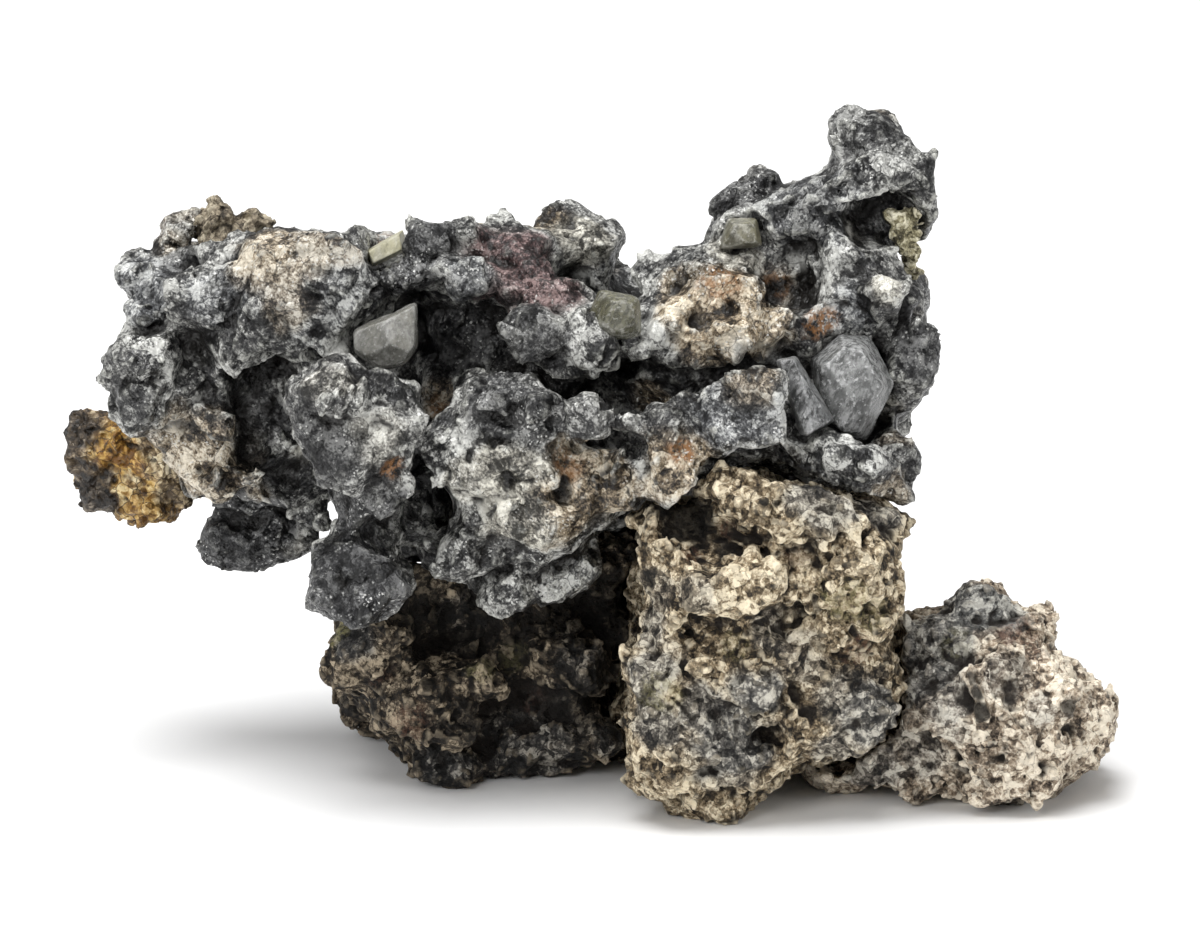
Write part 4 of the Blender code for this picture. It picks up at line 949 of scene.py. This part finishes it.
lobe = dict(
    matrix, node="matrix_lobe", name="rightLobe", step=0.12, out=0.12, most=150000,
    behind=0.0, spread=dict(grey=0.8, cream=0.6, rust=0.3), crumbly=1.0, shift=0.03,
    colours=((0.018, 0.013, 0.010), (0.13, 0.098, 0.070), (0.41, 0.325, 0.235), (0.90, 0.81, 0.66)),
    greys=((0.014, 0.014, 0.014), (0.065, 0.066, 0.064), (0.18, 0.178, 0.168), (0.55, 0.54, 0.49)),
    lumps=dict(seed=25, count=70, size=1.1, sink=0.7, flats=8, blend=0.05),
    crumbs=dict(seed=26, count=160, size=0.32, sink=0.3, flats=7, blend=0.03),
    zones=dict(
        grey=((19.3, 8.9, 1.8, 1.0), (17.2, 7.2, 2.0, 0.9), (16.4, 5.2, 1.7, 0.9), (18.0, 3.6, 1.2, 0.7),
              (16.4, 2.0, 1.5, 0.6), (20.6, 5.0, 1.2, 0.5), (22.4, 3.4, 0.7, 0.5), (21.2, -1.0, 1.0, 0.5),
              (18.0, 9.0, 1.4, 0.9), (20.6, 8.6, 1.2, 0.8), (24.0, -0.6, 1.0, 0.8), (14.0, 1.0, 1.6, 0.7),
              (17.8, 3.0, 1.0, 0.5)),
        cream=((23.8, 4.6, 2.6, 0.9), (25.2, 3.2, 1.8, 1.0), (21.6, 4.2, 1.8, 0.8), (22.6, 1.6, 2.0, 0.7),
               (20.0, 0.8, 1.8, 0.6), (18.6, 1.2, 1.5, 0.5), (23.2, 6.6, 1.2, 0.7)),
        rust=((21.4, 7.0, 1.0, 0.45), (22.4, 6.4, 0.7, 0.4), (23.9, 1.0, 0.6, 0.3)),
        green=((18.2, 6.6, 0.8, 0.3),),
        # the darkest zone: painted shade in hollows, and the dark blade
        shadeAndDark=((19.2, 4.4, 0.5, 1.0), (19.4, 3.4, 0.45, 1.0), (18.9, 5.0, 0.4, 0.9),
               (23.9, 3.7, 0.5, 0.9), (23.8, 2.4, 0.5, 0.9), (21.4, 5.6, 0.5, 0.6), (16.0, 3.2, 0.9, 0.6)),
    ),
    cracks=(
        (0.16, (16.0, 2.0), (16.8, 1.2), (17.8, 0.4)),
        (0.14, (18.2, 2.6), (19.4, 2.2), (20.6, 2.4), (21.6, 1.8)),
        (0.14, (21.6, 6.0), (22.2, 4.8), (22.0, 3.4)),
        (0.12, (23.0, 5.4), (24.2, 4.8), (25.0, 3.8)),
        (0.14, (19.6, 7.4), (20.8, 6.8), (22.0, 5.6)),
    ),
    chips=(
        (19.3, 4.2, 0.42, 0.6, 1.55, -18, 0.0), (19.6, 8.6, 1.5, 0.9, 1.0, 10, 0.6),
        (17.4, 7.0, 1.2, 0.8, 1.1, -15, 0.5),
    ),
    ledges=(
        (0.22, (17.9, 3.0), (18.8, 2.0), (20.2, 1.8), (21.4, 2.7)),
        (0.24, (17.3, 1.6), (18.8, 0.7), (20.8, 0.6), (22.4, 1.8)),
        (0.24, (17.8, 0.3), (19.6, -0.5), (21.6, -0.2), (23.0, 1.0)),
        (0.20, (20.9, 6.2), (21.6, 5.0), (21.4, 3.8)),
    ),
    hollows=(
        (23.9, 3.7, 0.4, 0.5, 0.35, 0), (23.8, 2.4, 0.35, 0.5, 0.3, 0),
    ),
)

rubble = dict(
    matrix, node="matrix_rubble", name="lowerRubble", slot="brown_matrix", step=0.13, out=0.22,
    most=150000, behind=3.0, spread=dict(grey=0.8, cream=0.5, rust=0.4), crumbly=1.2, shift=-0.1,
    colours=((0.006, 0.005, 0.004), (0.022, 0.017, 0.012), (0.085, 0.064, 0.042), (0.46, 0.38, 0.27)),
    greys=((0.006, 0.006, 0.006), (0.022, 0.022, 0.022), (0.07, 0.068, 0.064), (0.32, 0.31, 0.28)),
    lumps=dict(seed=35, count=220, size=1.0, sink=0.55, flats=8, blend=0.04),
    crumbs=dict(seed=36, count=500, size=0.38, sink=0.3, flats=7, blend=0.03),
    zones=dict(
        grey=((-11.7, 7.0, 1.0, 0.9), (-7.3, 0.5, 1.1, 0.9), (-3.0, 1.6, 2.4, 0.8), (1.0, 1.6, 0.9, 0.7),
              (-6.2, 8.0, 1.4, 0.5), (0.2, 6.0, 1.6, 0.6)),
        cream=((-12.4, 5.2, 0.9, 0.8), (-9.4, 3.6, 1.1, 0.7), (-6.5, 4.5, 1.4, 0.6),
               (-8.6, 1.8, 0.7, 0.7), (-10.6, 6.2, 0.9, 0.5), (-4.2, 4.6, 1.0, 0.5), (-7.6, 6.0, 0.8, 0.4)),
        rust=((-9.0, 2.8, 0.8, 0.4), (-10.2, 5.2, 0.6, 0.4), (-2.8, 4.0, 0.7, 0.3)),
        green=((-12.6, 7.4, 0.7, 0.9), (-5.4, 5.4, 0.7, 0.5), (-4.0, 6.2, 0.7, 0.5)),
        # the darkest zone: painted shade under the overhanging lead
        shadeAndDark=((-8.6, 8.4, 1.6, 0.7), (-4.8, 7.4, 1.6, 0.6), (-0.6, 8.6, 2.2, 0.8), (0.6, 4.4, 1.8, 0.8),
               (-6.0, 2.6, 1.0, 0.8), (-1.8, 3.6, 1.0, 0.5), (1.6, 7.6, 1.6, 0.9), (-5.4, 9.6, 1.5, 0.6)),
    ),
)


def crustRelief(solid, settings):
    # streaky grain where the crust is grey, blocky crumbs and pits in the rest of it
    def relief(points, normals):
        grey = greyShare(points, solid, settings)
        grain = 0.05 * streaks(points, grainNumber(points, normals), size=0.4, seed=5)
        flat = grain - 0.12 * seams(points, size=1.6, seed=11, width=0.09)
        wavy = bent(points, size=0.9, amount=0.15, seed=3)
        crumbs = (facets(wavy, size=0.9, seed=13, tilt=0.45, step=0.16, seam=0.07)
                  + facets(points, size=0.42, seed=19, tilt=0.5, step=0.10, seam=0.04))
        pits = -0.9 * np.clip(-layeredNoise(points, 1.3, 9, 2) - 0.56, 0, 0.5)
        waves = 0.12 * layeredNoise(points, 2.2, 15, 2)
        return waves + flat * grey + (crumbs + pits) * (1 - 0.8 * grey)
    return relief


def greyShare(points, solid, settings):
    # how much of the grey, flatter crust there is at each point
    ragged = layeredNoise(points, 3.2, 77, 3)
    spread = np.clip(ragged * 4 - settings["crumbly"], 0, 1)
    return np.maximum(patches(points, solid, settings["zones"]["grey"], 40, 0.4), spread)


def crustFinish(settings):
    # four colours from dark to light by fine noise, streaks, slow noise and each face's own tone;
    # the zones, ridges painted lighter as wear and painted highlight, cracks, and painted shade in creases,
    # hollows and the darkest zone are laid over them
    n = Nodes(settings["name"] + "Finish")
    hollow, tip, tone, grey = (n.number(name) for name in ("hollow", "tip", "tone", "grey"))
    toneA, crackA, leanA = n.broken(0.75, n.wavy(0.5, 0.4))
    toneB, _, leanB = n.broken(0.32, n.wavy(0.2, 0.2))
    streak, speck = n.streaked(0.16, 2.5), n.grains(0.11)
    grit, slow = n.noise(0.3, 4, 0.7), n.noise(1.5, 3, 0.65)
    value = n.total((toneA, 0.26), (toneB, 0.26), (speck, 0.12), (streak, 0.25), (grit, 0.45),
                    (tone, 0.10), (slow, 0.50), (settings["shift"] * 0.5 - 0.44, 1))
    stops, colours = settings["stops"], settings["colours"]
    dark, light = colours[0], colours[3]
    lighter = n.shades(n.math("ADD", value, 0.06), stops, colours)
    green = n.times(n.number("green"), n.band(grit, 0.4, 0.55, (0, 0.7)))
    rust = n.times(n.number("rust"), n.band(grit, 0.42, 0.55, (0, 0.8)))
    # ridges painted lighter, partly as wear and partly as painted highlight, less where the crust is grey
    wearAndHighlight = n.times(n.band(tip, 0.02, 0.10, (0, 0.55)), n.band(grey, 0, 1, (1, 0.4)))
    base = n.covered(n.shades(value, stops, colours), (n.number("cream"), lighter),
                     (grey, n.shades(value, stops, settings["greys"])),
                     (green, settings["green"]), (rust, settings["rust"]), (wearAndHighlight, light))
    cracks = n.math("MAXIMUM", n.band(crackA, 0, 1, (0.2, 1)), n.band(n.noise(0.8, 2, 0.6), 0.44, 0.56))
    base = n.mix(cracks, n.mix(0.45, dark, base), base)
    # painted shade: creases go dark, hollows and the darkest zone nearly black
    base = n.covered(base, (n.band(tip, -0.02, -0.13, (0, 0.85)), dark),
                     (n.band(hollow, -0.03, -0.30, (0, 0.92)), settings["deep"]),
                     (n.times(n.number("shadeAndDark"), 0.93), settings["shadeAndDark"]))
    normal = n.bump(n.total((leanA, 1.0), (leanB, 1.1), (grit, 0.1)))
    return n.finish(Base_Color=base, Roughness=0.78, Specular_IOR_Level=0.35, Normal=normal)


def makeMatrix(settings):
    solid = solidOf(settings)
    putHollows(solid, settings["hollows"], settings["hollowBlend"])
    scatter(solid, settings["lumps"])
    knap(solid, settings["flats"])
    putChips(solid, settings["chips"], settings["lumpBlend"])
    drawLines(solid, settings["ledges"], True)
    knap(solid, settings["nicks"], lambda points: greyShare(points, solid, settings) > 0.4)
    roughen(solid, crustRelief(solid, settings))
    scatter(solid, settings["crumbs"])
    if settings["nodules"]:
        cream = settings["zones"]["cream"]
        scatter(solid, settings["nodules"], lambda points: patches(points, solid, cream, 3) > 0.3)
    drawLines(solid, settings["cracks"], False)
    finished(solid, settings, crustFinish(settings))


for settings in (block, lobe, rubble):
    makeMatrix(settings)

# the honey-coloured knobs and the two small crusts: clusters of small crystals

cluster = dict(
    rounds=2, fine=3, wide=16, behind=9.0, spread=dict(),
    flats=dict(seed=47, count=150, size=0.8, lean=0.3, deep=0.06, cut=0.25),
)

knobs = dict(
    cluster, node="honey_knobs", name="honeyKnobs", slot="honey_crystal", step=0.10, out=-0.08,
    most=90000, reach=0.6, chips=dict(seed=45, count=90, size=0.55, sink=0.5, flats=10, blend=0.12),
    zones=dict(
        amber=((-23.4, 16.4, 1.4, 1.0), (-22.4, 16.6, 0.9, 1.0), (-22.6, 15.6, 1.1, 0.9),
               (-22.5, 14.0, 1.7, 0.6)),
        cream=((-21.2, 16.2, 1.2, 0.8), (-20.6, 14.9, 1.2, 0.8), (-22.0, 15.3, 0.6, 0.5),
               (-22.8, 14.9, 0.5, 0.5)),
        # the darkest zone: the far knob, darker partly of its own and partly as painted shade
        shadeAndDark=((-25.9, 17.2, 1.3, 0.9), (-25.3, 15.4, 1.3, 0.8), (-25.0, 13.8, 1.2, 1.0),
               (-24.2, 15.0, 0.5, 0.9)),
    ),
    stops=(0.38, 0.48, 0.58, 0.70),
    shades=dict(
        base=((0.02, 0.013, 0.007), (0.13, 0.08, 0.035), (0.32, 0.21, 0.10), (0.72, 0.58, 0.36)),
        amber=((0.16, 0.07, 0.012), (0.42, 0.23, 0.05), (0.68, 0.44, 0.13), (0.9, 0.72, 0.36)),
        cream=((0.08, 0.06, 0.035), (0.34, 0.27, 0.17), (0.62, 0.53, 0.36), (0.85, 0.77, 0.58)),
        shadeAndDark=((0.006, 0.005, 0.004), (0.02, 0.015, 0.011), (0.07, 0.055, 0.04), (0.26, 0.22, 0.17)),
    ),
    # groove and deep are painted shade in creases and hollows
    crack=(0.03, 0.018, 0.009), groove=(0.02, 0.012, 0.006), deep=(0.012, 0.008, 0.005),
)

tuft = dict(
    crustLooks, **cluster, out=0.0, reach=0.5, shift=0.0,
    zones=dict(grey=(), cream=(), rust=(), green=(), shadeAndDark=()),
    greys=((0.02, 0.02, 0.02), (0.06, 0.06, 0.06), (0.15, 0.15, 0.14), (0.36, 0.35, 0.32)),
)

tanTuft = dict(
    tuft, node="tan_crystals", name="tanCrystals", step=0.08, most=60000,
    colours=((0.03, 0.025, 0.018), (0.13, 0.105, 0.075), (0.27, 0.225, 0.16), (0.5, 0.44, 0.33)),
    chips=dict(seed=55, count=90, size=0.42, sink=0.25, flats=8, blend=0.05),
)

yellowTuft = dict(
    tuft, node="yellow_crust", name="yellowCrust", slot="pale_crystal", step=0.08, most=50000,
    colours=((0.03, 0.027, 0.015), (0.16, 0.14, 0.08), (0.45, 0.41, 0.26), (0.85, 0.80, 0.62)),
    chips=dict(seed=65, count=70, size=0.45, sink=0.4, flats=8, blend=0.05),
)


def smallRelief(points, normals):
    # small broken faces and a few cracks
    wavy = bent(points, size=0.8, amount=0.1, seed=3)
    broken = facets(wavy, size=0.6, seed=17, tilt=0.5, step=0.12)
    waves = 0.08 * layeredNoise(points, 1.2, 5, 3)
    return waves + broken - 0.1 * seams(points, size=1.1, seed=11, width=0.08)


def honeyFinish():
    # four shades from dark to light in every zone, by grit, slow noise and each broken face's tone
    n = Nodes("honeyFinish")
    hollow, tip = n.number("hollow"), n.number("tip")
    grit, slow = n.noise(0.3, 5, 0.7), n.noise(1.2, 4, 0.6)
    toneA, crackA, leanA = n.broken(0.8, n.wavy(0.5, 0.4))
    toneB, _, leanB = n.broken(0.35, n.wavy(0.25, 0.2))
    value = n.total((toneA, 0.25), (toneB, 0.25), (grit, 0.6), (slow, 0.4), (-0.25, 1))
    # cracks laid on, then painted shade: creases dark and hollows nearly black
    base = n.covered(n.zoned(value, knobs), (n.band(crackA, 0, 1, (0.85, 0)), knobs["crack"]),
                     (n.band(tip, -0.01, -0.09, (0, 0.85)), knobs["groove"]),
                     (n.band(hollow, 0.0, -0.3, (0, 0.9)), knobs["deep"]))
    normal = n.bump(n.total((leanA, 1.0), (leanB, 1.0), (grit, 0.08)))
    return n.finish(Base_Color=base, Roughness=0.42, Normal=normal)


def makeCluster(settings, finish):
    solid = solidOf(settings)
    scatter(solid, settings["chips"])
    knap(solid, settings["flats"])
    roughen(solid, smallRelief, settings["reach"])
    finished(solid, settings, finish)


# the single crystals, each flat face as (across, up, towards, distance from the centre)

crystals = (
    dict(node="grey_grain", name="greyGrain", slot="grey_crystal", at=(-10.15, 21.9, -4.2), round=14,
         colour=(0.42, 0.41, 0.36), clear=0.45, rough=0.2, veins=0.45,
         faces=((1, 0.06, 0.1, 1.5), (-0.38, 0.92, 0.15, 0.98), (-0.6, -0.8, 0.15, 1.35),
                (0.8, -0.6, 0.1, 1.45), (0.2, -0.98, 0.1, 1.4), (0.35, 0.25, 0.9, 0.95),
                (-0.35, 0.15, 0.9, 0.85), (0, -0.5, 0.87, 1.0), (0, 0, -1, 1.2), (-1, 0.1, 0, 1.6))),
    dict(node="amber_grain", name="amberGrain", slot="honey_crystal", at=(1.45, 23.0, -5.2), round=7,
         colour=(0.27, 0.26, 0.16), clear=0.4, rough=0.25, veins=0.7,
         faces=((1, 0.1, 0.2, 0.95), (-0.8, 0.3, 0.5, 0.95), (0.2, 1, 0.3, 1.0), (0.1, -1, 0.2, 1.0),
                (0.1, 0, 1, 0.9), (0.6, -0.6, 0.5, 1.0), (0, 0, -1, 0.9), (-0.5, -0.7, 0.3, 1.05))),
    dict(node="rimmed_crystal", name="rimmedCrystal", slot="grey_crystal", at=(12.95, 19.4, -4.6),
         round=22, colour=(0.26, 0.265, 0.26), clear=0.1, rough=0.25, veins=0.8,
         faces=((0.15, 1, 0.35, 2.2), (0.85, 0.5, 0.3, 1.65), (0.9, -0.45, 0.25, 1.5), (0, -1, 0.2, 2.25),
                (-1, -0.1, 0.2, 1.5), (0.1, 0.25, 1, 1.25), (-0.45, -0.15, 0.9, 1.3),
                (0.4, -0.5, 0.8, 1.55), (-0.6, 0.75, 0.3, 2.0), (0, 0, -1, 1.5), (-0.7, -0.7, 0.1, 1.9))),
    dict(node="leaning_crystal", name="leaningCrystal", slot="grey_crystal", at=(10.6, 19.0, -6.5),
         round=20, colour=(0.18, 0.185, 0.185), clear=0.1, rough=0.28, veins=1.0,
         faces=((0.85, 0.5, 0.2, 0.62), (-0.95, -0.3, 0.15, 0.62), (0.6, -0.8, 0.1, 1.75),
                (-0.2, 1, 0.1, 2.05), (-0.5, 0.0, 0.85, 0.7), (0.6, 0.2, 0.75, 0.72), (0, 0, -1, 0.9),
                (-0.3, -1, 0, 1.8))),
    dict(node="yellow_grain", name="yellowGrain", slot="pale_crystal", at=(7.6, 27.15, -0.9), round=8,
         colour=(0.32, 0.30, 0.19), clear=0.25, rough=0.3, veins=0.7,
         faces=((1, 0.2, 0.2, 0.75), (-0.9, 0.3, 0.3, 0.75), (0, 1, 0.3, 0.65), (0.1, -1, 0.2, 0.6),
                (0.2, 0.1, 1, 0.65), (-0.4, -0.4, 0.8, 0.7), (0, 0, -1, 0.7))),
    dict(node="pale_wedge", name="paleWedge", slot="pale_crystal", at=(-10.15, 26.4, 0.9), round=14,
         colour=(0.72, 0.68, 0.45), clear=0.3, rough=0.3, veins=0.3,
         faces=((0.95, 0.2, 0.2, 0.85), (-0.5, 0.86, 0.1, 0.42), (0.45, -0.9, 0.1, 0.42),
                (-0.9, -0.4, 0.1, 0.95), (0, 0.3, 1, 0.6), (0, 0, -1, 0.8))),
    dict(node="pale_round", name="paleRound", slot="pale_crystal", at=(-5.6, 27.15, 3.0), round=6,
         colour=(0.66, 0.60, 0.42), clear=0.3, rough=0.35, veins=0.4,
         faces=((1, 0.1, 0.1, 0.85), (-1, 0.2, 0.1, 0.85), (0.1, 1, 0.2, 0.5), (0, -1, 0.2, 0.5),
                (0, 0.2, 1, 0.85), (0, 0, -1, 0.9))),
)


def crystalFlats(settings):
    # the faces as unit normals on the model's own axes, and how far out each lies
    faces = np.array(settings["faces"])
    lengths = np.linalg.norm(faces[:, :3], axis=1)
    across, up, towards = (faces[:, :3] / lengths[:, None]).T
    away = np.stack((across, -towards * cosTilt + up * sinTilt, up * cosTilt + towards * sinTilt), axis=1)
    return away, faces[:, 3]


def carveRoom(solid, settings, grip=0.06):
    # takes the crystal's own room out of what holds it, less grip so that no gap shows
    normals, reach = crystalFlats(settings)
    block, offsets = blockRound(solid, seen(*settings["at"]), reach.max() * 1.5)
    inside = (offsets @ normals.T.astype(np.float32) - reach.astype(np.float32)).max(axis=-1) + grip
    solid["field"][block] = np.maximum(solid["field"][block], -inside)


def makeCrystal(settings, rings=70, around=140, ripple=0.07):
    # a ball of directions; the radius is the rounded least distance to any flat face, which is
    # 1 / (sum of (normal . direction / distance) ** round) ** (1 / round), with a fine ripple
    v = np.linspace(0, np.pi, rings + 2)[1:-1]
    u = np.arange(around) * 2 * np.pi / around
    ring = np.stack((np.outer(np.sin(v), np.cos(u)), np.outer(np.sin(v), np.sin(u)),
                     np.outer(np.cos(v), np.ones(around))), axis=-1).reshape(-1, 3)
    ways = np.concatenate((ring, [(0, 0, 1), (0, 0, -1)]))
    normals, reach = crystalFlats(settings)
    share = np.maximum(ways @ normals.T / reach, 0) ** settings["round"]
    total = share.sum(axis=1)
    radius = total ** (-1 / settings["round"])
    points = (ways * radius[:, None]).astype(np.float32)
    points *= 1 + ripple * layeredNoise(points + 50, 0.9, 3, 3)[:, None]
    i = np.arange((rings - 1) * around)
    beside = i - i % around + (i + 1) % around
    top = np.arange(around)
    last = (rings - 1) * around + top
    faces = np.concatenate((
        np.stack((i, i + around, beside), axis=1), np.stack((beside, i + around, beside + around), axis=1),
        np.stack((np.full(around, len(ring)), top, (top + 1) % around), axis=1),
        np.stack((np.full(around, len(ring) + 1), (top + 1) % around + last[0], last), axis=1)))
    piece = linkMesh(settings["name"], toModel(points + seen(*settings["at"])), faces)
    # painted light: how much each face faces up and to the right, read by the finish as its shade
    lit = np.array([up + 0.4 * across for across, up, _, _ in settings["faces"]])
    giveNumbers(piece, "edge", total / share.max(axis=1) - 1)
    giveNumbers(piece, "lit", lit[share.argmax(axis=1)])
    piece.data.materials.append(crystalFinish(settings))
    piece.data.shade_smooth()
    declare(piece, settings)


def crystalFinish(settings):
    # each face is painted lighter the more it faces up and to the right, as painted light; veins run
    # through it, and its edges are painted pale where the grit lets them be, as wear and painted highlight
    n = Nodes(settings["name"] + "Finish")
    colour = settings["colour"]
    dark, dim = (tuple(part * share for part in colour) for share in (0.14, 0.4))
    pale = tuple(part * 0.5 + 0.42 for part in colour)
    streak = n.noise(0.3, 5, 0.75, n.drawnOut((0, 25, 0), 3))
    grit, slow = n.noise(0.25, 5, 0.75), n.noise(1.3, 4, 0.6)
    # edges painted pale, partly as wear and partly as painted highlight
    wearAndHighlight = n.times(n.band(n.number("edge"), 0.2, 1.0), n.band(grit, 0.44, 0.60, (0.0, 0.65)))
    # painted light: faces that face up and to the right take the colour, the others go dim
    base = n.covered(n.mix(n.band(n.number("lit"), -0.6, 0.9), dim, colour),
                     (n.band(slow, 0.45, 0.62, (0, 0.5)), pale),
                     (n.band(streak, 0.42, 0.6, (0, settings["veins"])), dark),
                     (n.band(grit, 0.55, 0.66, (0, 0.7)), pale), (wearAndHighlight, pale))
    normal = n.bump(n.total((streak, 0.08), (grit, 0.05)))
    return n.finish(Base_Color=base, Transmission_Weight=settings["clear"], IOR=1.55,
                    Roughness=settings["rough"], Normal=normal)


makeLead()
makeCluster(knobs, honeyFinish())
for settings in (tanTuft, yellowTuft):
    makeCluster(settings, crustFinish(settings))
for settings in crystals:
    makeCrystal(settings)

# the stage

stage = dict(width=3.0, floor=(0.92, 0.92, 0.92), world=0.40, camera=1.1, framed=0.06, sensor=36,
             aim=(0.5, 15.6, 0), lampsAim=(0, 0, 0.015))
# every lamp's place in metres, its size and its power
lamps = dict(
    over=((-0.10, -0.06, 0.55), 0.45, 3.8),
    front=((-0.30, -0.60, 0.35), 0.30, 1.75),
    side=((0.50, -0.30, 0.30), 0.25, 0.5),
)


def makeFloor():
    half = stage["width"] / 2
    corners = np.array([(-half, -half, 0), (half, -half, 0), (half, half, 0), (-half, half, 0)])
    floor = linkMesh("floor", corners, np.array([(0, 1, 2, 3)]))
    floor.data.materials.append(Nodes("floorFinish").finish(Base_Color=stage["floor"], Roughness=0.8))


def makeWorld():
    world = bpy.data.worlds.new("studio")
    world.use_nodes = True
    world.node_tree.nodes["Background"].inputs["Color"].default_value = (1, 1, 1, 1)
    world.node_tree.nodes["Background"].inputs["Strength"].default_value = stage["world"]
    bpy.context.scene.world = world
    bpy.context.scene.view_settings.view_transform = "Standard"


def makeLamp(name, place, size, power):
    light = bpy.data.lights.new(name, "AREA")
    light.shape = "DISK"
    light.size = size
    light.energy = power
    lamp = bpy.data.objects.new(name, light)
    lamp.location = place
    lamp.rotation_euler = (Vector(stage["lampsAim"]) - Vector(place)).to_track_quat("-Z", "Y").to_euler()
    bpy.context.scene.collection.objects.link(lamp)


def makeCamera():
    # far off with a long lens; the sensor's width shows the framed width at the aim
    camera = bpy.data.objects.new("camera", bpy.data.cameras.new("camera"))
    aim = Vector(toModel(seen(*stage["aim"])))
    camera.location = aim + Vector((0, -cosTilt, sinTilt)) * stage["camera"]
    camera.rotation_euler = (math.radians(90) - display["tilt"], 0, 0)
    camera.data.sensor_width = stage["sensor"]
    camera.data.lens = stage["sensor"] * stage["camera"] / stage["framed"]
    camera.data.clip_start = 0.1
    bpy.context.scene.collection.objects.link(camera)
    bpy.context.scene.camera = camera


makeFloor()
makeWorld()
for name, (place, size, power) in lamps.items():
    makeLamp(name, place, size, power)
makeCamera()
print("stage made")
